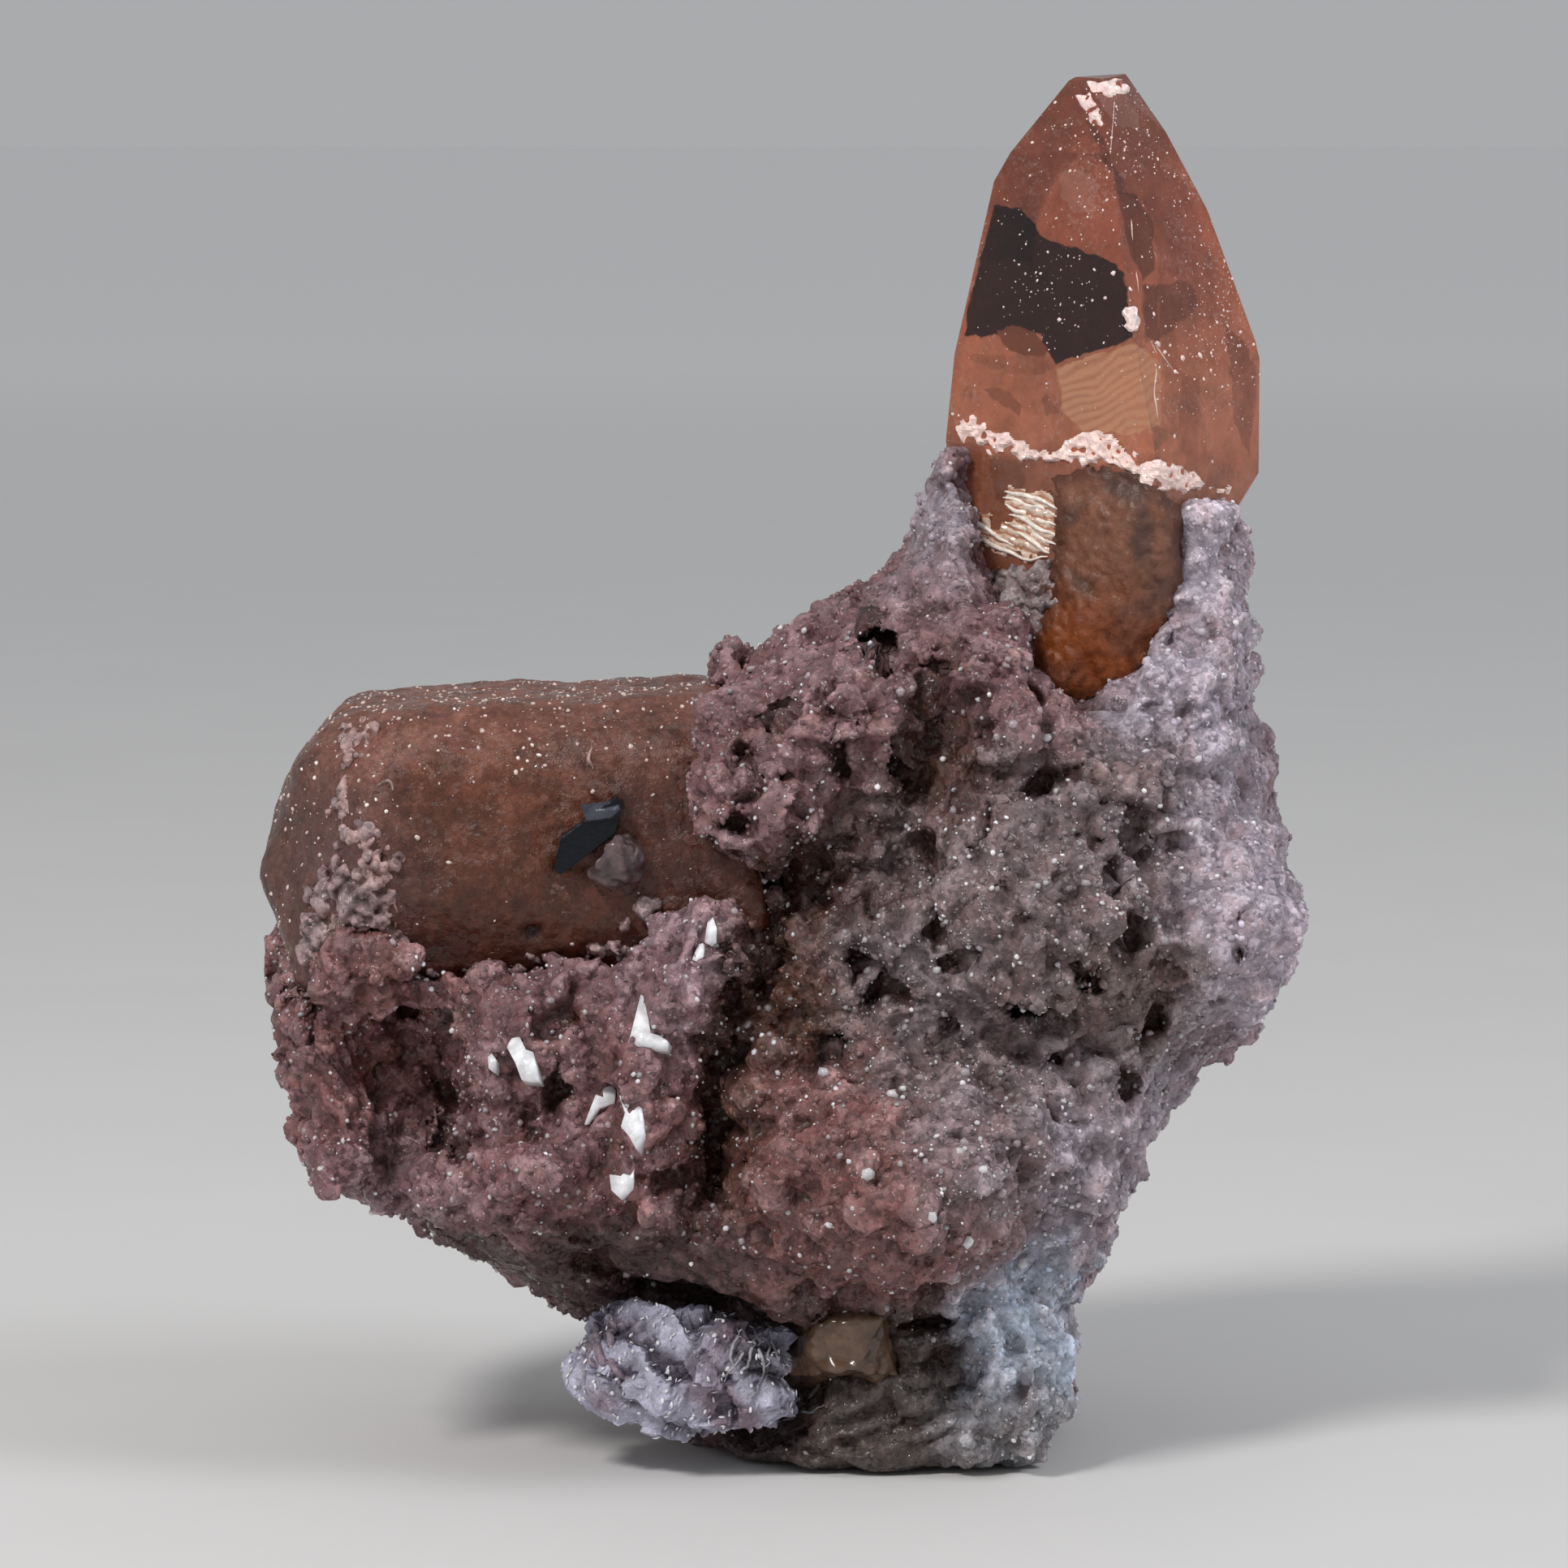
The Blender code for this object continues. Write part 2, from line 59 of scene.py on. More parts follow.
# The photograph's own view. Points named as (across, down) are pixels of its 1932 frame.
photoView = {
    "elevation": 6.0,
    "lens": 150.0,
    "sensor": 36.0,
    "pixels": 1932,
    "pixelSize": 0.0278,       # at the plane through the target
    "target": (0.0, 0.0, 22.9),
}
studio = {
    "floorColour": (0.70, 0.69, 0.68),
    "floorFar": (0.97, 0.97, 0.97),    # as pale as the world, so that no horizon shows
    "floorSize": 12000.0,
    "worldColour": (0.95, 0.97, 1.0),
    "worldStrength": 0.42,
    "keyDirection": (-0.42, -0.58, 0.70),
    "keyDistance": 330.0,
    "keySize": 75.0,
    "keyPower": 0.62,
    "keyColour": (1.0, 0.98, 0.96),
    "rimDirection": (0.75, -0.25, 0.62),
    "rimDistance": 380.0,
    "rimSize": 140.0,
    "rimPower": 0.42,
    "rimColour": (0.93, 0.96, 1.0),
}


# Meshes and arrays

def pointsOf(mesh):
    flat = np.empty(len(mesh.vertices) * 3, np.float32)
    mesh.vertices.foreach_get("co", flat)
    return flat.reshape(-1, 3).astype(np.float64) / mm


def setPoints(mesh, points):
    mesh.vertices.foreach_set("co", (points * mm).astype(np.float32).ravel())
    mesh.update()


def trianglesOf(mesh):
    mesh.calc_loop_triangles()
    flat = np.empty(len(mesh.loop_triangles) * 3, np.int32)
    mesh.loop_triangles.foreach_get("vertices", flat)
    return flat.reshape(-1, 3)


def edgesOf(mesh):
    flat = np.empty(len(mesh.edges) * 2, np.int32)
    mesh.edges.foreach_get("vertices", flat)
    return flat.reshape(-1, 2)


def meshFrom(name, points, triangles, smooth=None):
    mesh = bpy.data.meshes.new(name)
    mesh.vertices.add(len(points))
    mesh.vertices.foreach_set("co", (points * mm).astype(np.float32).ravel())
    mesh.loops.add(len(triangles) * 3)
    mesh.loops.foreach_set("vertex_index", triangles.astype(np.int32).ravel())
    mesh.polygons.add(len(triangles))
    mesh.polygons.foreach_set("loop_start", np.arange(0, len(triangles) * 3, 3, dtype=np.int32))
    if smooth is not None:
        mesh.polygons.foreach_set("use_smooth", smooth)
    mesh.update(calc_edges=True)
    mesh.validate()
    return mesh


def meshOf(form, name):
    mesh = bpy.data.meshes.new(name)
    form.to_mesh(mesh)
    form.free()
    return mesh


def shadeSmooth(mesh, smooth=True):
    mesh.polygons.foreach_set("use_smooth", np.full(len(mesh.polygons), smooth))


def paint(mesh, tints):
    layer = mesh.attributes.new("tint", "FLOAT_COLOR", "POINT")
    rgba = np.ones((len(tints), 4), np.float32)
    rgba[:, :3] = np.clip(tints, 0.0, 1.0)
    layer.data.foreach_set("color", rgba.ravel())


def paintValue(mesh, name, values):
    layer = mesh.attributes.new(name, "FLOAT", "POINT")
    layer.data.foreach_set("value", values.astype(np.float32))


def valuesOf(mesh, name):
    values = np.empty(len(mesh.vertices), np.float32)
    mesh.attributes[name].data.foreach_get("value", values)
    return values.astype(np.float64)


def vertexNormals(points, triangles):
    a, b, c = (points[triangles[:, side]] for side in range(3))
    facing = np.cross(b - a, c - a)
    total = np.zeros_like(points)
    for side in range(3):
        for axis in range(3):
            total[:, axis] += np.bincount(triangles[:, side], facing[:, axis], len(points))
    return total / np.maximum(np.linalg.norm(total, axis=1), 1e-12)[:, None]


def neighbourMean(values, edges):
    count = len(values)
    degree = np.bincount(edges.ravel(), minlength=count)
    mean = np.zeros_like(values)
    columns = values.T if values.ndim > 1 else [values]
    for axis, column in enumerate(columns):
        total = np.bincount(edges[:, 0], column[edges[:, 1]], count)
        total += np.bincount(edges[:, 1], column[edges[:, 0]], count)
        total /= np.maximum(degree, 1)
        if values.ndim > 1:
            mean[:, axis] = total
        else:
            mean = total
    return mean


def relax(points, edges, rounds):
    # alternate shrinking and swelling, so that the form keeps its size
    for _ in range(rounds):
        for push in (0.5, -0.52):
            points = points + push * (neighbourMean(points, edges) - points)
    return points


def smoothStep(values, low, high):
    share = np.clip((values - low) / (high - low), 0.0, 1.0)
    return share * share * (3.0 - 2.0 * share)


def blended(low, high, share):
    return np.array(low) * (1.0 - share) + np.array(high) * share


def unevenSizes(luck, count, limits, power):
    # random sizes between two limits, with more small ones for a higher power
    small, large = limits
    return small + (large - small) * luck.random(count) ** power


def softSpot(pixels, across, down, wide, high):
    # 1 at that pixel, fading over those half sizes
    return np.exp(-((pixels[:, 0] - across) / wide) ** 2 - ((pixels[:, 1] - down) / high) ** 2)


def noiseAt(points, size, seed=0.0):
    # one value in about -1 to 1 for each point, from a noise with features of that size
    shift = Vector((seed * 7.31, seed * 3.17, seed * 5.77))
    scale = 1.0 / size
    return np.array([noise.noise(Vector(p) * scale + shift) for p in points.tolist()]) * 1.6


def cellsAt(points, size, seed=0.0):
    # distance to the nearest cell's centre in cell sizes, and a random number of that cell
    shift = Vector((seed * 4.73, seed * 9.41, seed * 2.29))
    scale = 1.0 / size
    near = np.empty(len(points))
    luck = np.empty(len(points))
    for index, p in enumerate(points.tolist()):
        distances, centres = noise.voronoi(Vector(p) * scale + shift)
        near[index] = distances[0]
        luck[index] = noise.cell(centres[0] * 57.0)
    return near, luck


def modified(mesh, kind, **settings):
    thing = bpy.data.objects.new("block", mesh)
    bpy.context.scene.collection.objects.link(thing)
    step = thing.modifiers.new("step", kind)
    for name, value in settings.items():
        setattr(step, name, value)
    seen = thing.evaluated_get(bpy.context.evaluated_depsgraph_get())
    fresh = bpy.data.meshes.new_from_object(seen)
    bpy.data.objects.remove(thing)
    return fresh


def remeshed(mesh, grid):
    # the same solid with its surface rebuilt on an even grid
    return modified(mesh, "REMESH", mode="VOXEL", voxel_size=grid * mm)


def slimmed(mesh, most):
    # the same surface with fewer triangles, most of them kept where it bends
    return modified(mesh, "DECIMATE", ratio=most / len(mesh.polygons))


def weldedCopy(name):
    form = bmesh.new()
    form.from_mesh(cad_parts[name].data)
    bmesh.ops.remove_doubles(form, verts=form.verts, dist=1e-6)
    bmesh.ops.recalc_face_normals(form, faces=form.faces)
    return form


def hullOf(name):
    form = weldedCopy(name)
    hull = bmesh.ops.convex_hull(form, input=form.verts)
    spare = hull["geom_interior"] + hull["geom_unused"]
    spare = {item for item in spare if isinstance(item, bmesh.types.BMVert)}
    bmesh.ops.delete(form, geom=list(spare), context="VERTS")
    bmesh.ops.dissolve_limit(form, angle_limit=math.radians(0.6), verts=form.verts, edges=form.edges)
    bmesh.ops.recalc_face_normals(form, faces=form.faces)
    return form


def facePlanes(form):
    normals = np.array([face.normal[:] for face in form.faces])
    reach = np.array([face.normal.dot(face.calc_center_median()) for face in form.faces]) / mm
    return normals, reach


def outsideBy(points, planes):
    # distance to a convex crystal, less than 0 inside it, and the direction away from it
    normals, reach = planes
    best = np.full(len(points), -1e9)
    away = np.zeros((len(points), 3))
    for normal, edge in zip(normals, reach):
        far = points @ normal - edge
        better = far > best
        best[better] = far[better]
        away[better] = normal
    return best, away


def surfaceFinder(tree):
    # gives the place and outward normal where the line of sight through a pixel meets that surface
    def find(across, down):
        ray = photoRay(across, down)
        place, normal, _, _ = tree.ray_cast(cameraPlace * mm, ray)
        if place is None:
            return None, None
        normal = normal if normal.dot(ray) < 0.0 else -normal
        return np.array(place) / mm, np.array(normal)
    return find


def finderOn(points, triangles):
    return surfaceFinder(BVHTree.FromPolygons((points * mm).tolist(), triangles.tolist()))


def addPiece(name, mesh, material):
    piece = bpy.data.objects.new(name, mesh)
    bpy.context.scene.collection.objects.link(piece)
    if not mesh.materials:
        mesh.materials.append(material)
    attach(piece, "root")
    return piece


# Materials

def newMaterial(name, **settings):
    material = bpy.data.materials.new(name)
    material.use_nodes = True
    shader = material.node_tree.nodes["Principled BSDF"]
    for socket, value in settings.items():
        shader.inputs[socket.replace("_", " ")].default_value = value
    return material, material.node_tree, shader


def addNode(tree, kind, inputs=(), **settings):
    node = tree.nodes.new(kind)
    for name, value in settings.items():
        setattr(node, name, value)
    for place, value in dict(inputs).items():
        if isinstance(value, bpy.types.NodeSocket):
            tree.links.new(value, node.inputs[place])
        else:
            node.inputs[place].default_value = value
    return node


def millimetres(tree):
    place = addNode(tree, "ShaderNodeTexCoord")
    return vectorMath(tree, "SCALE", place.outputs["Object"], 1.0 / mm)


def noiseNode(tree, place, size, detail=3.0, roughness=0.55, distortion=0.0):
    inputs = {"Vector": place, "Scale": 1.0 / size, "Detail": detail, "Roughness": roughness}
    inputs["Distortion"] = distortion
    return addNode(tree, "ShaderNodeTexNoise", inputs).outputs["Fac"]


def spread(tree, value, low, high, fromLow=0.0, fromHigh=1.0):
    inputs = {"Value": value, "From Min": fromLow, "From Max": fromHigh, "To Min": low, "To Max": high}
    return addNode(tree, "ShaderNodeMapRange", inputs).outputs["Result"]


def mottled(tree, place, grain, low, high):
    # noise of that size, detail and roughness, spread over a range
    return spread(tree, noiseNode(tree, place, *grain), low, high, 0.3, 0.7)


def sums(tree, operation, first, second):
    return addNode(tree, "ShaderNodeMath", {0: first, 1: second}, operation=operation).outputs["Value"]


def vectorMath(tree, operation, first, second):
    inputs = {0: first, "Scale" if operation == "SCALE" else 1: second}
    outputs = addNode(tree, "ShaderNodeVectorMath", inputs, operation=operation).outputs
    return outputs["Value" if operation == "DOT_PRODUCT" else "Vector"]


def mixed(tree, share, first, second, blend="MIX"):
    inputs = {0: share, 6: first, 7: second}
    return addNode(tree, "ShaderNodeMix", inputs, data_type="RGBA", blend_type=blend).outputs[2]


def tintNode(tree, name="tint"):
    return addNode(tree, "ShaderNodeAttribute", attribute_name=name)


def faceted(tree, place, size):
    # small flat facets, each tilted its own way: their height, and a random number for each
    cells = addNode(tree, "ShaderNodeTexVoronoi", {"Vector": place, "Scale": 1.0 / size})
    offset = vectorMath(tree, "SUBTRACT", place, cells.outputs["Position"])
    tilt = vectorMath(tree, "SUBTRACT", cells.outputs["Color"], (0.5, 0.5, 0.5))
    slope = vectorMath(tree, "DOT_PRODUCT", offset, tilt)
    luck = addNode(tree, "ShaderNodeSeparateXYZ", {0: cells.outputs["Color"]})
    return sums(tree, "MULTIPLY", slope, 2.0 / size), luck.outputs["X"], luck.outputs["Y"]


def bumped(tree, shader, height, strength, depth, under=None):
    inputs = {"Height": height, "Strength": strength, "Distance": depth * mm}
    if under is not None:
        inputs["Normal"] = under
    node = addNode(tree, "ShaderNodeBump", inputs)
    tree.links.new(node.outputs["Normal"], shader.inputs["Normal"])
    return node.outputs["Normal"]


def glossyMaterial(name, colour, low, high, size, transmission=0.0, bump=0.0):
    material, tree, shader = newMaterial(name, IOR=1.62, Transmission_Weight=transmission,
                                         Specular_IOR_Level=0.4)
    place = millimetres(tree)
    mottle = mottled(tree, place, (size, 4.0, 0.65), 0.68, 1.25)
    tree.links.new(mixed(tree, 1.0, (*colour, 1.0), mottle, "MULTIPLY"), shader.inputs["Base Color"])
    gloss = mottled(tree, place, (size * 0.6, 3.0, 0.6), low, high)
    tree.links.new(gloss, shader.inputs["Roughness"])
    if bump:
        bumped(tree, shader, noiseNode(tree, place, size * 0.4, 3.0, 0.6), 0.5, bump)
    return material


# Camera, light and floor

def direction(x, y, z):
    return Vector((x, y, z)).normalized()


def makeCamera():
    tilt = math.radians(photoView["elevation"])
    width = photoView["pixels"] * photoView["pixelSize"]
    distance = width * photoView["lens"] / photoView["sensor"]
    target = Vector(photoView["target"])
    place = target + Vector((0.0, -math.cos(tilt), math.sin(tilt))) * distance
    lens = bpy.data.cameras.new("camera")
    lens.lens = photoView["lens"]
    lens.sensor_width = photoView["sensor"]
    lens.clip_start = 0.01
    camera = bpy.data.objects.new("camera", lens)
    camera.location = place * mm
    camera.rotation_euler = (math.pi / 2 - tilt, 0.0, 0.0)
    bpy.context.scene.collection.objects.link(camera)
    bpy.context.scene.camera = camera
    return place


def photoRay(across, down):
    # the line of sight through a pixel of the photograph
    tilt = math.radians(photoView["elevation"])
    middle = photoView["pixels"] / 2
    step = photoView["sensor"] / photoView["lens"] / photoView["pixels"]
    ahead = Vector((0.0, math.cos(tilt), -math.sin(tilt)))
    up = Vector((0.0, math.sin(tilt), math.cos(tilt)))
    sight = ahead + Vector((1.0, 0.0, 0.0)) * (across - middle) * step + up * (middle - down) * step
    return sight.normalized()


def pixelsOf(points):
    # where points fall in the photograph
    tilt = math.radians(photoView["elevation"])
    middle = photoView["pixels"] / 2
    scale = photoView["lens"] / photoView["sensor"] * photoView["pixels"]
    offset = points - np.array(cameraPlace)
    depth = offset @ np.array((0.0, math.cos(tilt), -math.sin(tilt)))
    rise = offset @ np.array((0.0, math.sin(tilt), math.cos(tilt)))
    return np.stack([middle + offset[:, 0] / depth * scale, middle - rise / depth * scale], axis=1)


def addArea(name, towards, distance, size, power, colour):
    lamp = bpy.data.lights.new(name, "AREA")
    lamp.shape = "DISK"
    lamp.size = size * mm
    lamp.energy = power
    lamp.color = colour
    light = bpy.data.objects.new(name, lamp)
    light.location = (Vector(photoView["target"]) + direction(*towards) * distance) * mm
    light.rotation_euler = direction(*towards).to_track_quat("Z", "Y").to_euler()
    bpy.context.scene.collection.objects.link(light)
    return light


def makeStudio():
    scene = bpy.context.scene
    world = bpy.data.worlds.new("studio")
    world.use_nodes = True
    sky = world.node_tree.nodes["Background"]
    sky.inputs["Color"].default_value = (*studio["worldColour"], 1.0)
    sky.inputs["Strength"].default_value = studio["worldStrength"]
    scene.world = world
    addArea("keyLight", studio["keyDirection"], studio["keyDistance"], studio["keySize"],
            studio["keyPower"], studio["keyColour"])
    addArea("rimLight", studio["rimDirection"], studio["rimDistance"], studio["rimSize"],
            studio["rimPower"], studio["rimColour"])

    form = bmesh.new()
    bmesh.ops.create_grid(form, x_segments=2, y_segments=2, size=studio["floorSize"] * mm / 2)
    mesh = meshOf(form, "floor")
    floor = bpy.data.objects.new("floor", mesh)
    floor.location.z = -0.02 * mm
    scene.collection.objects.link(floor)
    material, tree, shader = newMaterial("paleFloor", Roughness=0.85)
    place = millimetres(tree)
    grain = spread(tree, noiseNode(tree, place, 14.0), 0.97, 1.03)
    colour = mixed(tree, 1.0, (*studio["floorColour"], 1.0), grain, "MULTIPLY")
    reach = addNode(tree, "ShaderNodeVectorMath", {0: place}, operation="LENGTH").outputs["Value"]
    far = spread(tree, reach, 0.0, 1.0, 120.0, 900.0)
    colour = mixed(tree, far, colour, (*studio["floorFar"], 1.0))
    tree.links.new(colour, shader.inputs["Base Color"])
    mesh.materials.append(material)
    scene.view_settings.view_transform = "Standard"


cameraPlace = makeCamera()
makeStudio()
print("studio ready")


# The rock's colours, some of them painted shade, and where on it each lies: middle (x, z) and half sizes,
# seen from the front

rockColours = {
    "pink": (0.165, 0.072, 0.072),
    "palePink": (0.185, 0.096, 0.102),
    "mauve": (0.220, 0.132, 0.152),
    "rose": (0.185, 0.085, 0.080),
    "grey": (0.165, 0.124, 0.132),
    "paleGrey": (0.385, 0.335, 0.395),
    "sand": (0.150, 0.100, 0.084),
    "mist": (0.290, 0.250, 0.290),
    "brown": (0.085, 0.036, 0.024),
    "deepBrown": (0.058, 0.026, 0.018),
    "shadow": (0.066, 0.032, 0.032),
    "dusk": (0.180, 0.080, 0.072),
    "ash": (0.240, 0.182, 0.200),
    # painted shade, for its hollows and dents
    "creviceShade": (0.042, 0.018, 0.014),
    "socket": (0.40, 0.33, 0.31),
    "olive": (0.058, 0.043, 0.037),
    "bluish": (0.450, 0.520, 0.630),
    "blueGrey": (0.240, 0.240, 0.260),
}
rockZones = {
    "shoulderTop": ("palePink", (3.1, 28.6), (3.9, 2.4)),
    "shoulderLeft": ("palePink", (-1.2, 24.6), (3.2, 3.4)),
    "leftCrust": ("mist", (4.9, 32.1), (1.6, 3.0)),
    # the valley's and the groove's browns are stain and painted shade together
    "valleyHigh": ("brown", (5.4, 23.9), (1.5, 2.6)),
    "valleyTurn": ("deepBrown", (1.6, 20.4), (2.0, 1.6)),
    "valleyLow": ("brown", (-0.3, 17.6), (1.3, 3.2)),
    "ledge": ("palePink", (7.6, 25.6), (2.0, 1.3)),
    "rightMass": ("grey", (8.2, 20.4), (5.6, 3.9)),
    "rightMiddle": ("sand", (11.0, 16.6), (2.6, 2.2)),
    "rightLow": ("grey", (8.4, 15.0), (3.6, 2.4)),
    "rightLobe": ("paleGrey", (15.4, 19.3), (2.2, 3.6)),
    "rightCrust": ("paleGrey", (13.8, 29.4), (2.0, 4.6)),
    "bottomRight": ("mist", (11.3, 10.6), (2.4, 3.4)),
    "boulder": ("rose", (2.7, 9.3), (4.0, 2.6)),
    "boulderTop": ("rose", (1.4, 12.3), (2.2, 1.8)),
    "boulderRight": ("ash", (6.3, 11.3), (2.4, 2.1)),
    # stain and painted shade, as in the valley
    "groove": ("brown", (-2.1, 13.2), (0.9, 4.2)),
    "column": ("mauve", (-3.9, 17.2), (1.5, 2.6)),
    "columnLow": ("pink", (-4.6, 13.0), (1.6, 2.6)),
    "middle": ("palePink", (-8.2, 14.2), (3.4, 3.2)),
    "vug": ("dusk", (-12.9, 13.6), (2.0, 3.0)),
    "leftWall": ("pink", (-16.2, 15.4), (1.5, 5.2)),
    "lowerRim": ("mauve", (-12.8, 10.3), (3.0, 1.2)),
    "lowerMiddle": ("pink", (-8.6, 10.4), (2.6, 1.4)),
    "shelf": ("shadow", (-5.4, 7.4), (5.4, 1.3)),
    "folds": ("olive", (2.6, 2.4), (3.8, 2.6)),
    "footLeft": ("shadow", (-4.0, 3.6), (3.2, 2.6)),
    "knob": ("bluish", (8.2, 4.6), (1.8, 2.2)),
    "knobFoot": ("blueGrey", (7.6, 1.4), (2.0, 1.4)),
}


def rockTint(points):
    # blends the zones' colours, with borders that wander, and mixes them up a little on the back
    warp = np.stack([noiseAt(points, 2.4, 11.0), noiseAt(points, 2.4, 12.0)], axis=1) * 0.8
    fine = np.stack([noiseAt(points, 0.8, 13.0), noiseAt(points, 0.8, 14.0)], axis=1) * 0.35
    behind = smoothStep(points[:, 1], 0.0, 6.0)[:, None]
    facing = smoothStep(points[:, 1] + warp[:, 0], -3.5, 1.5)
    seen = points[:, [0, 2]] + warp * (1.0 + 2.0 * behind) + fine
    total = 1e-6 + 0.12 * facing
    tint = total[:, None] * np.array(rockColours["mauve"])
    for colour, middle, sizes in rockZones.values():
        offset = (seen - np.array(middle)) / np.array(sizes)
        weight = np.exp(-1.6 * (offset ** 2).sum(axis=1))
        if colour == "blueGrey":
            weight = weight * (1.0 - facing)
        elif colour in ("brown", "deepBrown", "bluish"):
            weight = weight * (1.0 - 0.9 * behind[:, 0])
        total += weight
        tint += weight[:, None] * np.array(rockColours[colour])
    return tint / total[:, None]


# The rock's skin

rockLook = {
    "baseGrid": 0.40,
    "shrink": 0.20,            # taken off the solid before its clumps are added
    "clumpCell": 1.05,
    "clumpSizes": (0.35, 0.9),
    "clumpGrid": 0.22,
    "fineGrid": 0.140,
    "triangles": 192_000,      # kept of the fine surface
    "lumpSize": 2.3,
    "lumpHeight": 0.16,
    "billows": ((2.1, 0.44, 51.0), (1.05, 0.32, 52.0), (0.52, 0.19, 53.0)),    # size, height, seed
    "crumbSize": 0.36,
    "crumbHeight": 0.13,
    "vugSize": 1.5,
    "vugDepth": 0.75,
    "foldStep": 0.95,
    "foldHeight": 0.24,
    "shelfHeight": 0.16,
    "fluteStep": 0.9,
    "fluteHeight": 0.16,
    "flutedWall": ((-16.4, 15.0), (2.0, 5.4)),
    "warm": (0.95, 0.66, 0.58),
    "frost": np.array((0.075, 0.058, 0.064)),      # paleness added on what stands out
    "bite": 0.08,              # how far the rock reaches into the crystals that it holds
    "hold": (0.45, 0.8),       # gap from which it starts to close on them
}
vuggyZones = {
    "shoulder": ((1.0, 26.0), (4.6, 4.0), 1.0),
    "rightMass": ((8.6, 19.4), (6.4, 4.8), 1.0),
    "bottomRight": ((11.0, 11.0), (3.4, 4.0), 0.55),
    "middle": ((-8.0, 13.5), (4.5, 4.0), 0.6),
    "vug": ((-13.5, 13.0), (3.0, 4.0), 0.3),
}
smoothZones = {
    "folds": ((1.8, 2.6), (5.6, 3.4)),
    "shelf": ((-5.6, 7.0), (5.8, 1.6)),
}
calmZones = {
    "lobe": ((16.0, 19.6), (2.8, 4.6)),
    "crust": ((15.2, 29.0), (1.8, 6.0)),
    "bottomRight": ((13.6, 12.6), (2.4, 4.4)),
    "shoulderEdge": ((2.0, 31.0), (4.0, 2.0)),
}
# Where the crystal's root shows through the rock's front, by pixel
rootWindow = ((1160, 470), (1160, 560), (1178, 623), (1184, 665), (1192, 702), (1228, 745), (1258, 770),
              (1252, 817), (1304, 861), (1342, 868), (1392, 826), (1428, 760), (1437, 665), (1440, 640),
              (1480, 622), (1570, 618), (1570, 470))
# Hollows of the front, by pixel: across, down, half width, half height, lean in degrees, depth, and darkness
# of the painted shade in it
rockDents = {
    "shoulderHole": (1073, 797, 24, 28, 0, 1.2, 0.85),
    "shoulderSlot": (1148, 824, 20, 17, 0, 0.9, 0.7),
    "shoulderHigh": (958, 878, 24, 13, -30, 0.7, 0.55),
    "shoulderLeft": (923, 930, 18, 24, 0, 1.2, 0.85),
    "shoulderMiddle": (966, 957, 12, 12, 0, 0.7, 0.7),
    "shoulderRight": (1025, 938, 20, 26, 0, 0.8, 0.65),
    "shoulderLow": (912, 1017, 24, 15, 0, 1.0, 0.8),
    "shoulderFoot": (884, 1057, 26, 20, 0, 1.1, 0.9),
    "valleyHigh": (1130, 905, 34, 100, 12, 0.9, 0.75),
    "valleyWide": (1060, 1010, 46, 60, 50, 0.7, 0.5),
    "valleyTurn": (980, 1075, 46, 48, 20, 1.3, 0.85),
    "valleyLow": (950, 1165, 30, 70, 0, 1.3, 0.9),
    "underLedge": (1285, 968, 12, 60, 62, 0.8, 0.85),
    "grooveHigh": (890, 1270, 34, 90, 4, 1.0, 0.75),
    "grooveLow": (880, 1410, 30, 80, 6, 1.0, 0.75),
    "massPitA": (1404, 1024, 12, 10, 0, 0.8, 0.9),
    "massPitB": (1353, 1034, 11, 10, 0, 0.7, 0.8),
    "massPitC": (1326, 1030, 9, 8, 0, 0.6, 0.7),
    "massPitD": (1158, 1158, 14, 16, 0, 0.9, 0.85),
    "massPitE": (1176, 1186, 16, 9, 0, 0.8, 0.85),
    "massPitF": (1095, 1228, 40, 20, -10, 1.1, 0.9),
    "massPitG": (1052, 1186, 20, 28, 20, 0.9, 0.8),
    "massPitH": (1030, 1290, 26, 34, 0, 0.9, 0.8),
    "massPitI": (1264, 1247, 26, 9, 12, 0.7, 0.85),
    "massPitJ": (1298, 1306, 15, 9, -20, 0.6, 0.85),
    "massPitK": (1340, 1205, 30, 16, 25, 0.8, 0.75),
    "massPitL": (1416, 1268, 16, 48, 35, 1.0, 0.85),
    "massPitM": (1385, 1330, 20, 24, 20, 0.8, 0.7),
    "massPitN": (1236, 1090, 14, 11, 0, 0.6, 0.7),
    "lobeHigh": (1524, 1130, 7, 11, 0, 0.8, 0.95),
    "lobeLow": (1528, 1174, 9, 10, 0, 0.8, 0.95),
    "vugDeep": (556, 1330, 30, 96, -14, 1.0, 0.35),
    "vugRim": (562, 1404, 32, 26, 0, 0.8, 0.5),
    "ledgeHollow": (1185, 890, 58, 40, -20, 0.6, 0.35),
    "wallGroove": (380, 1226, 12, 62, -8, 0.7, 0.7),
    "middleGap": (688, 1345, 15, 34, 0, 0.9, 0.75),
    "middlePit": (655, 1400, 14, 14, 0, 0.6, 0.6),
    "columnFoot": (830, 1455, 34, 26, 0, 0.9, 0.6),
    "shelfEdge": (800, 1580, 11, 110, -74, 0.8, 0.85),
    "slotHigh": (1146, 1634, 36, 11, -6, 1.3, 0.99),
    "slotLow": (1104, 1684, 22, 9, -6, 1.1, 0.99),
}
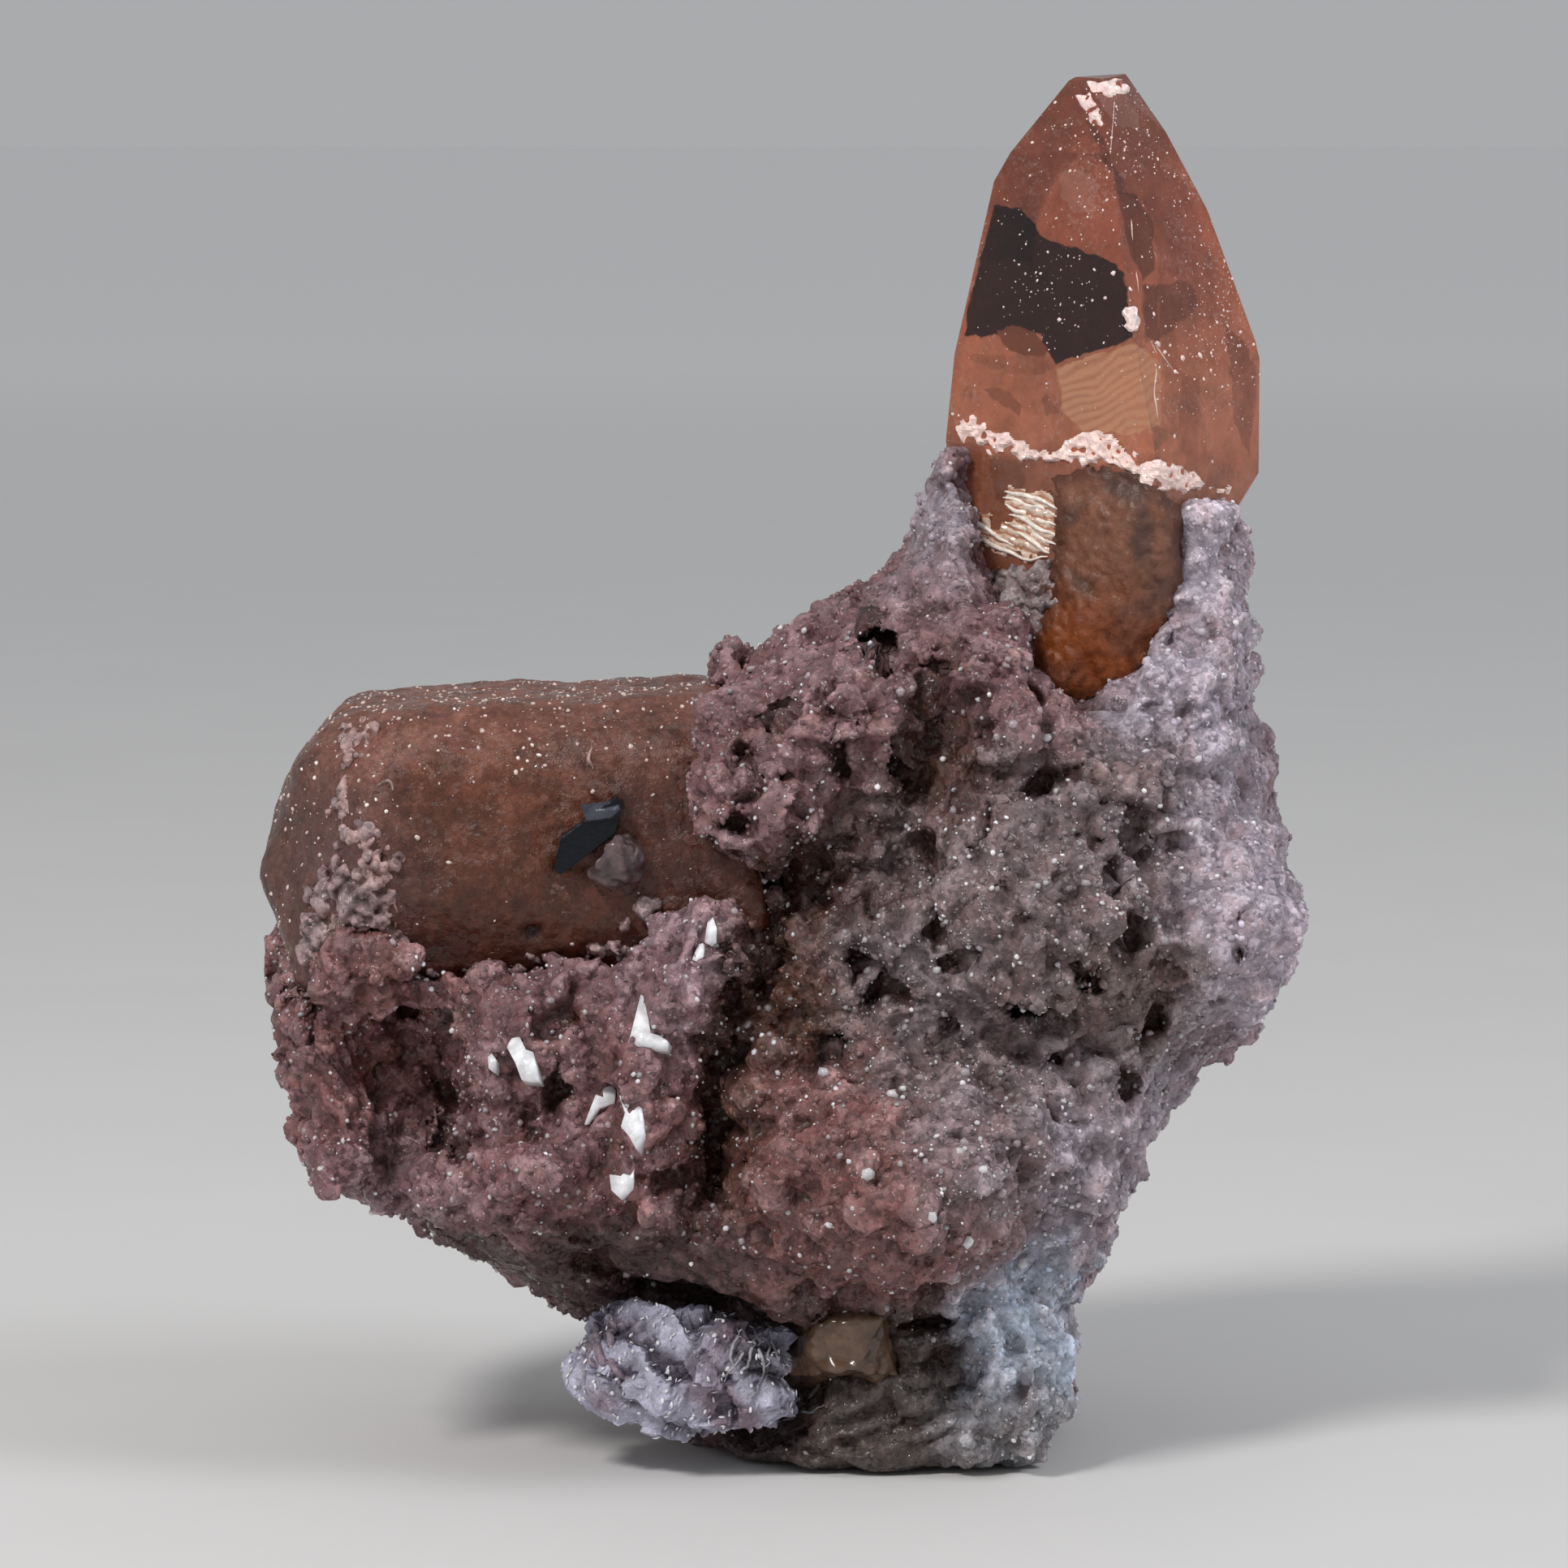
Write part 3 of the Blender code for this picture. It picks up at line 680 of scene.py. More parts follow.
# Raised ridges of the front: a line of pixels, half width in pixels, height and paleness
rockRidges = {
    "ledgeRim": (((1172, 776), (1240, 800), (1280, 838), (1312, 880), (1306, 900), (1290, 912)),
                 13, 0.75, 0.8),
    "ledgeFold": (((1190, 905), (1222, 930), (1250, 934)), 9, 0.35, 0.4),
    "vugRim": (((496, 1182), (520, 1206), (542, 1228), (556, 1250), (566, 1272)), 8, 0.5, 0.7),
    "columnPale": (((812, 1228), (842, 1222), (862, 1236), (850, 1280), (832, 1272)), 15, 0.3, 0.9),
    "columnEdge": (((868, 1120), (846, 1170), (826, 1214), (806, 1262)), 9, 0.35, 0.6),
    "valleySpur": (((900, 1050), (924, 1064), (930, 1100), (915, 1130)), 10, 0.45, 0.6),
    "shelfLip": (((640, 1500), (700, 1530), (770, 1556), (840, 1574), (900, 1590)), 6, 0.25, 0.15),
    "foldA": (((968, 1759), (996, 1745), (1038, 1738), (1080, 1717), (1137, 1696), (1179, 1693)),
              6, 0.38, 0.55),
    "foldB": (((1010, 1775), (1052, 1763), (1109, 1745), (1151, 1717), (1193, 1675), (1214, 1640)),
              6, 0.38, 0.45),
    "foldC": (((960, 1796), (1000, 1800), (1060, 1792), (1120, 1776), (1172, 1748)), 6, 0.3, 0.3),
    "foldD": (((1109, 1658), (1151, 1648), (1193, 1638), (1221, 1624)), 6, 0.35, 0.4),
    "knobEdge": (((1222, 1622), (1228, 1661), (1214, 1703), (1199, 1745), (1188, 1790)), 7, 0.45, 0.9),
    "knobFold": (((1262, 1640), (1278, 1690), (1262, 1740), (1268, 1790)), 7, 0.3, 0.5),
}


def zoneShare(points, middle, sizes):
    offset = (points[:, [0, 2]] - np.array(middle)) / np.array(sizes)
    return 1.0 - smoothStep(np.sqrt((offset ** 2).sum(axis=1)), 0.75, 1.15)


def zoneMask(points, zones):
    mask = np.full(len(points), 0.25)
    for middle, sizes, strength in zones.values():
        mask = np.maximum(mask, zoneShare(points, middle, sizes) * strength)
    return mask


def smoothShares(points):
    front = 1.0 - smoothStep(points[:, 1], -2.0, 2.0)
    return {name: zoneShare(points, *place) * front for name, place in smoothZones.items()}


def edgeDistance(pixels, outline):
    # distance in pixels to a closed outline, less than 0 outside it
    best = np.full(len(pixels), 1e9)
    inside = np.zeros(len(pixels), bool)
    for (x1, y1), (x2, y2) in zip(outline, outline[1:] + outline[:1]):
        side = np.array((x2 - x1, y2 - y1), float)
        offset = pixels - np.array((x1, y1), float)
        along = np.clip(offset @ side / (side @ side), 0.0, 1.0)
        best = np.minimum(best, np.linalg.norm(offset - along[:, None] * side, axis=1))
        crosses = (pixels[:, 1] < y1) != (pixels[:, 1] < y2)
        at = x1 + (pixels[:, 1] - y1) * (x2 - x1) / (y2 - y1 if y2 != y1 else 1e-9)
        inside ^= crosses & (pixels[:, 0] < at)
    return np.where(inside, best, -best)


def lineDistance(pixels, line):
    # distance in pixels to an open line
    best = np.full(len(pixels), 1e9)
    for start, end in zip(line, line[1:]):
        side = np.array(end, float) - start
        offset = pixels - np.array(start, float)
        along = np.clip(offset @ side / (side @ side), 0.0, 1.0)
        best = np.minimum(best, np.linalg.norm(offset - along[:, None] * side, axis=1))
    return best


def withinBox(points):
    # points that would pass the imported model's box are eased back to about 0.2 mm beyond it
    low = np.array(cadBox[0]) / mm
    high = np.array(cadBox[1]) / mm
    over = np.maximum(points - (high - 0.3), 0.0)
    under = np.maximum((low + 0.3) - points, 0.0)
    eased = points - over + 0.5 * np.tanh(over / 0.5) + under - 0.5 * np.tanh(under / 0.5)
    eased[:, 2] = np.maximum(eased[:, 2], 0.0)
    return eased


def gapTo(points, crystals):
    return np.min([outsideBy(points, planes)[0] for planes in crystals], axis=0)


def closeOn(points, crystals):
    # pulls the rock's rim onto the crystals that it holds
    nearest = np.full(len(points), 1e9)
    for planes in crystals:
        far, away = outsideBy(points, planes)
        share = 1.0 - smoothStep(far, *rockLook["hold"])
        share[far < -1.5] = 0.0
        points = points - away * ((far + rockLook["bite"]) * share)[:, None]
        nearest = np.minimum(nearest, far)
    return points, nearest


def openWindow(points, planes):
    # rock that would stand before the crystal's visible root is pressed back under its faces
    pixels = pixelsOf(points)
    ragged = noiseAt(points, 0.8, 33.0) * 7.0
    inside = smoothStep(edgeDistance(pixels, rootWindow) + ragged, -3.0, 7.0)
    points = points.copy()
    for index in np.flatnonzero(inside > 0.0):
        place, _ = findUpright(*pixels[index])
        if place is not None and points[index, 1] < place[1] + 0.3:
            behind = place + np.array(photoRay(*pixels[index])) * 0.35
            points[index] += (behind - points[index]) * inside[index]
    far, away = outsideBy(points, planes)
    share = inside * ((away[:, 1] < 0.25) & (far > -0.2))
    return points - away * ((far + 0.3) * share)[:, None]


def clumpedBlock(crystals, luck):
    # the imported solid, a little thinner, with uneven clumps grown over it
    mesh = remeshed(meshOf(weldedCopy("matrix"), "block"), rockLook["baseGrid"])
    points = pointsOf(mesh)
    triangles = trianglesOf(mesh)
    points = relax(points, edgesOf(mesh), 2)
    normals = vertexNormals(points, triangles)
    free = smoothStep(gapTo(points, crystals), 0.5, 1.0)
    points = points - normals * (free * rockLook["shrink"])[:, None]
    plain = np.max(list(smoothShares(points).values()), axis=0)
    upFromFloor = smoothStep(points[:, 2], 0.5, 0.9)
    allowed = free * upFromFloor * (1.0 - plain) + 1e-9
    places, facing = scatterOn(luck, points, triangles, allowed, 40_000)
    keep = onePerCell(places, rockLook["clumpCell"])
    places, facing = places[keep], facing[keep]
    sizes = unevenSizes(luck, len(places), rockLook["clumpSizes"], 1.5)
    places = places + facing * (sizes * luck.uniform(-0.75, -0.2, len(places)))[:, None]
    clumps, faces = grainCloud(luck, places, sizes, (0.65, 1.35), ballForm(2))
    points = np.concatenate([points, clumps])
    triangles = np.concatenate([triangles, faces + len(points) - len(clumps)])
    mesh = remeshed(meshFrom("clumps", points, triangles), rockLook["clumpGrid"])
    setPoints(mesh, openWindow(pointsOf(mesh), crystals[0]))
    return mesh


def billow(points, size, seed):
    # rounded lumps with creases between them, in about -0.4 to 0.6
    return np.abs(noiseAt(points, size, seed)) - 0.32


def dentShares(points, normals):
    # how far down each point lies in the named hollows of the front, and how much painted shade it gets there
    pixels = pixelsOf(points)
    front = (1.0 - smoothStep(normals[:, 1], 0.1, 0.6)) * (1.0 - smoothStep(points[:, 1], 1.0, 4.0))
    ragged = noiseAt(points, 0.7, 31.0) * 0.3
    depth = np.zeros(len(points))
    dark = np.zeros(len(points))
    for across, down, wide, high, lean, deep, shade in rockDents.values():
        turn = math.radians(lean)
        x = pixels[:, 0] - across
        y = pixels[:, 1] - down
        u = (x * math.cos(turn) + y * math.sin(turn)) / wide
        v = (y * math.cos(turn) - x * math.sin(turn)) / high
        far = np.sqrt(u * u + v * v) + ragged
        share = (1.0 - smoothStep(far, 0.5, 1.15)) * front
        depth = np.where(np.abs(share * deep) > np.abs(depth), share * deep, depth)
        dark = np.maximum(dark, (1.0 - smoothStep(far, 0.5, 1.4)) * front * shade)
    pale = np.zeros(len(points))
    for line, wide, high, whiteness in rockRidges.values():
        share = np.exp(-((lineDistance(pixels, line) / wide) ** 2) * (1.0 + ragged)) * front
        depth -= share * high
        dark *= 1.0 - share
        pale = np.maximum(pale, share * whiteness)
    return depth, dark, pale


def skinRelief(points, plain):
    smoothArea = np.max(list(plain.values()), axis=0)
    calm = np.max([zoneShare(points, *place) for place in calmZones.values()], axis=0)
    rough = (1.0 - 0.8 * smoothArea) * (1.0 - 0.45 * calm)
    bent = points + np.stack([noiseAt(points, 0.9, seed) for seed in (41.0, 42.0, 43.0)], axis=1) * 0.16
    relief = noiseAt(points, rockLook["lumpSize"], 1.0) * rockLook["lumpHeight"]
    for size, height, seed in rockLook["billows"]:
        relief += billow(bent, size, seed) * height * rough
    near, luck = cellsAt(bent, rockLook["crumbSize"], 3.0)
    crumbs = np.sqrt(np.clip(1.0 - (near / 0.85) ** 2, 0.0, 1.0)) - 0.72
    relief += crumbs * rockLook["crumbHeight"] * (0.9 + 0.6 * luck) * rough

    vugs = smoothStep(noiseAt(bent, rockLook["vugSize"], 4.0), 0.34, 0.62)
    vugs *= zoneMask(points, vuggyZones) * (1.0 - smoothArea)
    relief -= vugs * rockLook["vugDepth"]

    bend = noiseAt(points, 3.0, 5.0) * 1.1 + 0.18 * points[:, 0]
    layers = np.abs(np.sin((points[:, 2] + bend) * math.pi / rockLook["foldStep"]))
    relief += (layers ** 0.6 - 0.6) * rockLook["foldHeight"] * plain["folds"]
    slant = points[:, 2] * 1.4 + 0.35 * points[:, 0] + bend
    layers = np.abs(np.sin(slant * math.pi / rockLook["foldStep"]))
    relief += (layers - 0.5) * rockLook["shelfHeight"] * plain["shelf"]

    wall = zoneShare(points, *rockLook["flutedWall"])
    bend = noiseAt(points, 2.2, 6.0) * 0.9
    turn = (points[:, 0] * 0.8 + points[:, 1] + 0.25 * points[:, 2] + bend) / rockLook["fluteStep"]
    relief += np.sin(turn * 2.0 * math.pi) * rockLook["fluteHeight"] * wall
    return relief, smoothArea


def makeSkin(crystals):
    luck = np.random.default_rng(3)
    mesh = remeshed(clumpedBlock(crystals, luck), rockLook["fineGrid"])
    points = pointsOf(mesh)
    triangles = trianglesOf(mesh)
    edges = edgesOf(mesh)
    onFoot = points[:, 2] < 0.1
    points = relax(points, edges, 2)
    free = smoothStep(gapTo(points, crystals), 0.35, 0.9)
    depth, shade, pale = dentShares(points, vertexNormals(points, triangles))
    points[:, 1] += depth * free
    for _ in range(2):
        points = points + 0.5 * (neighbourMean(points, edges) - points)
    relief, smoothArea = skinRelief(points, smoothShares(points))
    points = points + vertexNormals(points, triangles) * (relief * free)[:, None]
    points, nearest = closeOn(points, crystals)
    points = withinBox(points)
    points[onFoot, 2] = 0.0

    normals = vertexNormals(points, triangles)
    broad = points.copy()
    for _ in range(14):
        broad = neighbourMean(broad, edges)
    hollow = ((broad - points) * normals).sum(axis=1)      # more than 0 in a hollow
    tint = rockTint(points)
    # painted shade: hollows and the named dents darkened towards the crevice shade colour
    dark = 1.0 - (1.0 - smoothStep(hollow, 0.0, 0.26) * 0.78) * (1.0 - shade * 0.85)
    dark = np.clip(dark, 0.0, 0.93)[:, None]
    raised = smoothStep(-hollow, 0.01, 0.16) * smoothStep(noiseAt(points, 1.3, 17.0), -0.7, 0.5)
    raised = np.maximum(raised * (1.0 - smoothArea * 0.7), pale)[:, None]
    grey = tint.mean(axis=1)[:, None]
    tint = tint * (1.0 - raised * 0.75) + (tint * 1.35 + grey * 0.4 + rockLook["frost"]) * raised * 0.75
    tint = blended(tint, rockColours["creviceShade"], dark)
    socket = (1.0 - smoothStep(nearest, 0.25, 0.5))[:, None]
    tint = blended(tint, rockColours["socket"], socket * 0.5)
    mesh = meshFrom("rock", points, triangles)
    paint(mesh, tint)
    carried = {"nearest": nearest, "smoothArea": smoothArea, "hollow": hollow}
    for name, values in carried.items():
        paintValue(mesh, name, values)
    mesh = slimmed(mesh, rockLook["triangles"])
    mesh.name = "rock"
    setPoints(mesh, withinBox(pointsOf(mesh)))
    shadeSmooth(mesh)
    skin = {name: valuesOf(mesh, name) for name in carried}
    for name in carried:
        mesh.attributes.remove(mesh.attributes[name])
    skin.update(mesh=mesh, points=pointsOf(mesh), triangles=trianglesOf(mesh))
    print("rock", len(triangles), "triangles, of which it keeps", len(skin["triangles"]))
    return skin


def rockMaterial():
    material, tree, shader = newMaterial("sugaryRock", IOR=1.52, Specular_IOR_Level=0.5)
    place = millimetres(tree)
    wander = addNode(tree, "ShaderNodeTexNoise", {"Vector": place, "Scale": 3.0,
                                                  "Detail": 2.0}).outputs["Color"]
    bent = vectorMath(tree, "ADD", place, vectorMath(tree, "SCALE", wander, 0.12))
    coarse, coarseLuck, coarseShine = faceted(tree, bent, 0.36)
    fine, fineLuck, fineShine = faceted(tree, bent, 0.17)
    tint = tintNode(tree).outputs["Color"]
    blotches = mottled(tree, place, (0.9, 5.0, 0.7), 0.6, 1.4)
    crystals = sums(tree, "MULTIPLY", spread(tree, coarseLuck, 0.8, 1.22),
                    spread(tree, fineLuck, 0.74, 1.3))
    colour = mixed(tree, 1.0, tint, sums(tree, "MULTIPLY", blotches, crystals), "MULTIPLY")
    warm = spread(tree, noiseNode(tree, place, 1.7, 3.0, 0.6), 0.0, 0.6, 0.42, 0.72)
    colour = mixed(tree, warm, colour, mixed(tree, 1.0, colour, (*rockLook["warm"], 1.0), "MULTIPLY"))
    tree.links.new(colour, shader.inputs["Base Color"])
    shine = sums(tree, "MINIMUM", spread(tree, coarseShine, 0.1, 1.1), spread(tree, fineShine, 0.1, 1.1))
    tree.links.new(shine, shader.inputs["Roughness"])
    height = sums(tree, "ADD", sums(tree, "MULTIPLY", coarse, 0.9), sums(tree, "MULTIPLY", fine, 0.5))
    height = sums(tree, "ADD", height, sums(tree, "MULTIPLY", noiseNode(tree, place, 0.2, 3.0, 0.6), 0.5))
    bumped(tree, shader, height, 1.0, 0.12)
    return material


def ballForm(steps):
    form = bmesh.new()
    bmesh.ops.create_icosphere(form, subdivisions=steps, radius=1.0)
    form.verts.ensure_lookup_table()
    points = np.array([vertex.co[:] for vertex in form.verts])
    triangles = np.array([[vertex.index for vertex in face.verts] for face in form.faces])
    form.free()
    return points, triangles


def randomTurns(luck, count):
    q = luck.normal(size=(count, 4))
    q /= np.linalg.norm(q, axis=1)[:, None]
    w, x, y, z = q.T
    rows = [
        [1 - 2 * (y * y + z * z), 2 * (x * y - z * w), 2 * (x * z + y * w)],
        [2 * (x * y + z * w), 1 - 2 * (x * x + z * z), 2 * (y * z - x * w)],
        [2 * (x * z - y * w), 2 * (y * z + x * w), 1 - 2 * (x * x + y * y)],
    ]
    return np.array(rows).transpose(2, 0, 1)


def scatterOn(luck, points, triangles, allowed, tries):
    a, b, c = (points[triangles[:, side]] for side in range(3))
    facing = np.cross(b - a, c - a)
    area = np.linalg.norm(facing, axis=1) / 2
    weight = area * allowed[triangles].min(axis=1)
    pick = luck.choice(len(triangles), tries, p=weight / weight.sum())
    u, v = luck.random(tries), luck.random(tries)
    flip = u + v > 1
    u[flip], v[flip] = 1 - u[flip], 1 - v[flip]
    places = a[pick] + (b - a)[pick] * u[:, None] + (c - a)[pick] * v[:, None]
    normals = facing[pick] / np.maximum(2 * area[pick], 1e-12)[:, None]
    return places, normals


def onePerCell(places, cell):
    key = np.floor(places / cell).astype(np.int64)
    code = key[:, 0] * 1_000_003 + key[:, 1] * 10_007 + key[:, 2]
    _, first = np.unique(code, return_index=True)
    return np.sort(first)


def grainCloud(luck, places, sizes, stretch, template, turns=None):
    # one uneven ball for each place, as one set of points and triangles
    points, triangles = template
    count = len(places)
    shapes = points[None] * luck.uniform(0.78, 1.14, (count, len(points), 1))
    shapes = shapes * (sizes[:, None] * luck.uniform(*stretch, (count, 3)))[:, None, :]
    turns = randomTurns(luck, count) if turns is None else turns
    shapes = np.einsum("gij,gpj->gpi", turns, shapes) + places[:, None, :]
    faces = triangles[None] + (np.arange(count) * len(points))[:, None, None]
    return shapes.reshape(-1, 3), faces.reshape(-1, 3)


upright = hullOf("upright_topaz")
leftHull = hullOf("left_topaz")
footHull = hullOf("foot_topaz")
uprightPlanes = facePlanes(upright)
leftPlanes = facePlanes(leftHull)
footPlanes = facePlanes(footHull)
findUpright = surfaceFinder(BVHTree.FromBMesh(upright))
rock = makeSkin([uprightPlanes, leftPlanes, footPlanes])
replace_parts(addPiece("rock", rock["mesh"], rockMaterial()), "matrix")
shownFaces = rock["triangles"][rock["points"][rock["triangles"]].mean(axis=1)[:, 1] < 1.0]
findRock = finderOn(rock["points"], shownFaces)


# Sheets, strands and lumps that lie on a surface where the photograph shows them

def sheetOn(find, name, outline, step=2.6, proud=0.03, ragged=4.0, relief=None, seed=0.0):
    # a thin uneven sheet over what the outline covers, with its rim sunk into the surface
    corners = np.array(outline, float)
    across = np.arange(corners[:, 0].min() - step, corners[:, 0].max() + step, step)
    down = np.arange(corners[:, 1].min() - step, corners[:, 1].max() + step, step)
    pixels = np.stack(np.meshgrid(across, down), axis=-1).reshape(-1, 2)
    flat = np.column_stack([pixels * photoView["pixelSize"], np.zeros(len(pixels))])
    far = edgeDistance(pixels, outline) + noiseAt(flat, 0.35, seed + 61.0) * ragged
    number = np.full(len(pixels), -1)
    places = []
    normals = []
    for index in np.flatnonzero(far > 0.0):
        place, normal = find(*pixels[index])
        if place is not None:
            number[index] = len(places)
            places.append(place)
            normals.append(normal)
    places = np.array(places)
    normals = np.array(normals)
    kept = number >= 0
    rise = smoothStep(far[kept], 0.0, 5.0) * (proud + 0.03) - 0.03
    if relief is not None:
        rise = rise + relief(places) * smoothStep(far[kept], 0.0, 6.0)
    places = places + normals * rise[:, None]
    grid = number.reshape(len(down), len(across))
    squares = np.stack([grid[:-1, :-1], grid[1:, :-1], grid[1:, 1:], grid[:-1, 1:]], axis=-1).reshape(-1, 4)
    squares = squares[(squares >= 0).all(axis=1)]
    spans = np.ptp(places[squares][:, :, 1], axis=1)
    squares = squares[spans < 0.6]
    triangles = np.concatenate([squares[:, [0, 1, 2]], squares[:, [0, 2, 3]]])
    return meshFrom(name, places, triangles, np.zeros(len(triangles), bool))


def tubeAlong(points, radii, sides=6):
    # a closed tapering tube through those points
    points = np.array(points)
    ahead = np.gradient(points, axis=0)
    ahead /= np.linalg.norm(ahead, axis=1)[:, None]
    side = np.cross(ahead, (0.0, 1.0, 0.001))
    side /= np.linalg.norm(side, axis=1)[:, None]
    over = np.cross(ahead, side)
    turns = np.arange(sides) * 2.0 * math.pi / sides
    ring = side[:, None] * np.cos(turns)[None, :, None] + over[:, None] * np.sin(turns)[None, :, None]
    rings = (points[:, None] + ring * np.array(radii)[:, None, None]).reshape(-1, 3)
    faces = []
    for row in range(len(points) - 1):
        for column in range(sides):
            a = row * sides + column
            b = row * sides + (column + 1) % sides
            faces += [(a, b, b + sides), (a, b + sides, a + sides)]
    last = (len(points) - 1) * sides
    faces += [(0, column + 1, column) for column in range(1, sides - 1)]
    faces += [(last, last + column, last + column + 1) for column in range(1, sides - 1)]
    return rings, np.array(faces)


def curveThrough(corners, count):
    # evenly spaced points on a smooth curve through a few corners
    corners = np.array(corners, float)
    spots = np.linspace(0.0, len(corners) - 1.0, count)
    padded = np.vstack([2 * corners[0] - corners[1], corners, 2 * corners[-1] - corners[-2]])
    rows = []
    for spot in spots:
        low = min(int(spot), len(corners) - 2)
        t = spot - low
        a, b, c, d = padded[low:low + 4]
        rows.append(0.5 * (2 * b + (c - a) * t + (2 * a - 5 * b + 4 * c - d) * t * t
                           + (3 * b - a - 3 * c + d) * t ** 3))
    return np.array(rows)


def strandsOn(find, lines, radius, proud=0.0, wander=0.0, seed=0.0):
    # tapering strands that follow lines of pixels over a surface
    points = []
    faces = []
    count = 0
    for row, line in enumerate(lines):
        pixels = curveThrough(line, 6 * len(line))
        spots = [find(*pixel) for pixel in pixels]
        spots = [place + normal * proud for place, normal in spots if place is not None]
        if len(spots) < 4:
            continue
        spots = np.array(spots)
        bends = [noiseAt(spots, 0.7, seed + row + shift) for shift in (0.0, 0.3, 0.6)]
        spots = spots + np.stack(bends, axis=1) * wander
        taper = np.sin(np.linspace(0.12, math.pi - 0.12, len(spots))) ** 0.7
        ring, sides = tubeAlong(spots, taper * radius)
        points.append(ring)
        faces.append(sides + count)
        count += len(ring)
    return np.concatenate(points), np.concatenate(faces)


def addStrands(name, find, lines, shape, seed, material, tone=None):
    # shape is the strands' radius, how far they stand proud and how much they wander
    points, faces = strandsOn(find, lines, *shape, seed)
    mesh = meshFrom(name, points, faces, np.ones(len(faces), bool))
    if tone is not None:
        paint(mesh, np.tile(tone, (len(points), 1)))
    addPiece(name, mesh, material)


def grainsAt(find, luck, spots, depth, template=None):
    # uneven grains at pixels (across, down, radius in millimetres)
    template = ballForm(1) if template is None else template
    places = []
    sizes = []
    for across, down, radius in spots:
        place, normal = find(across, down)
        if place is not None:
            places.append(place - normal * radius * depth)
            sizes.append(radius)
    return grainCloud(luck, np.array(places), np.array(sizes), (0.65, 1.4), template)


def plateOn(find, outline, towards, proud, thick):
    # a flat plate with that outline of pixels, turned to a direction, its back sunk in the rock
    corners = np.array(outline, float)
    normal = np.array(towards) / np.linalg.norm(towards)
    spots = [find(*corner)[0] for corner in corners] + [find(*corners.mean(axis=0))[0]]
    spots = [spot for spot in spots if spot is not None]
    reach = np.percentile([spot @ normal for spot in spots], 75) + proud
    front = []
    for corner in corners:
        ray = np.array(photoRay(*corner))
        start = np.array(cameraPlace)
        front.append(start + ray * (reach - start @ normal) / (ray @ normal))
    front = np.array(front)
    back = front - normal * thick
    count = len(front)
    form = bmesh.new()
    fore = [form.verts.new(point * mm) for point in front]
    aft = [form.verts.new(point * mm) for point in back]
    form.faces.new(fore)
    form.faces.new(aft[::-1])
    for index in range(count):
        following = (index + 1) % count
        form.faces.new((fore[following], fore[index], aft[index], aft[following]))
    bmesh.ops.recalc_face_normals(form, faces=form.faces)
    bmesh.ops.triangulate(form, faces=form.faces)
    points = np.array([vertex.co[:] for vertex in form.verts]) / mm
    form.verts.index_update()
    faces = np.array([[vertex.index for vertex in face.verts] for face in form.faces])
    form.free()
    return points, faces


# Grains

grains = {
    "seed": 7,
    "tries": 9600,
    "sizes": (0.07, 0.19),
    "paleShare": 0.12,
    "paleTone": (0.36, 0.33, 0.35),
    # painted highlights: near-white grains stand in for glints of tiny crystal faces
    "sparkleTone": (1.0, 0.96, 0.99),
    "sparkles": 6000,
    "sparkleSizes": (0.025, 0.105),
    "glitter": ((1500, 760, 50, 130), (1280, 1130, 180, 140), (1180, 1420, 140, 110), (1300, 1500, 60, 100),
                (1250, 1720, 60, 90)),
}


def grainMaterial():
    material, tree, shader = newMaterial("sugarGrains", IOR=1.54, Specular_IOR_Level=0.6)
    place = millimetres(tree)
    tint = tintNode(tree).outputs["Color"]
    mottle = mottled(tree, place, (0.14, 2.0, 0.6), 0.82, 1.2)
    tree.links.new(mixed(tree, 1.0, tint, mottle, "MULTIPLY"), shader.inputs["Base Color"])
    gloss = mottled(tree, place, (0.5, 2.0, 0.5), 0.2, 0.55)
    tree.links.new(gloss, shader.inputs["Roughness"])
    bumped(tree, shader, noiseNode(tree, place, 0.1, 2.0, 0.6), 0.3, 0.04)
    return material


def sparkleMaterial():
    material, tree, shader = newMaterial("clearSparkles", IOR=1.55, Specular_IOR_Level=0.6)
    place = millimetres(tree)
    tree.links.new(tintNode(tree).outputs["Color"], shader.inputs["Base Color"])
    gloss = mottled(tree, place, (0.4,), 0.05, 0.22)
    tree.links.new(gloss, shader.inputs["Roughness"])
    return material


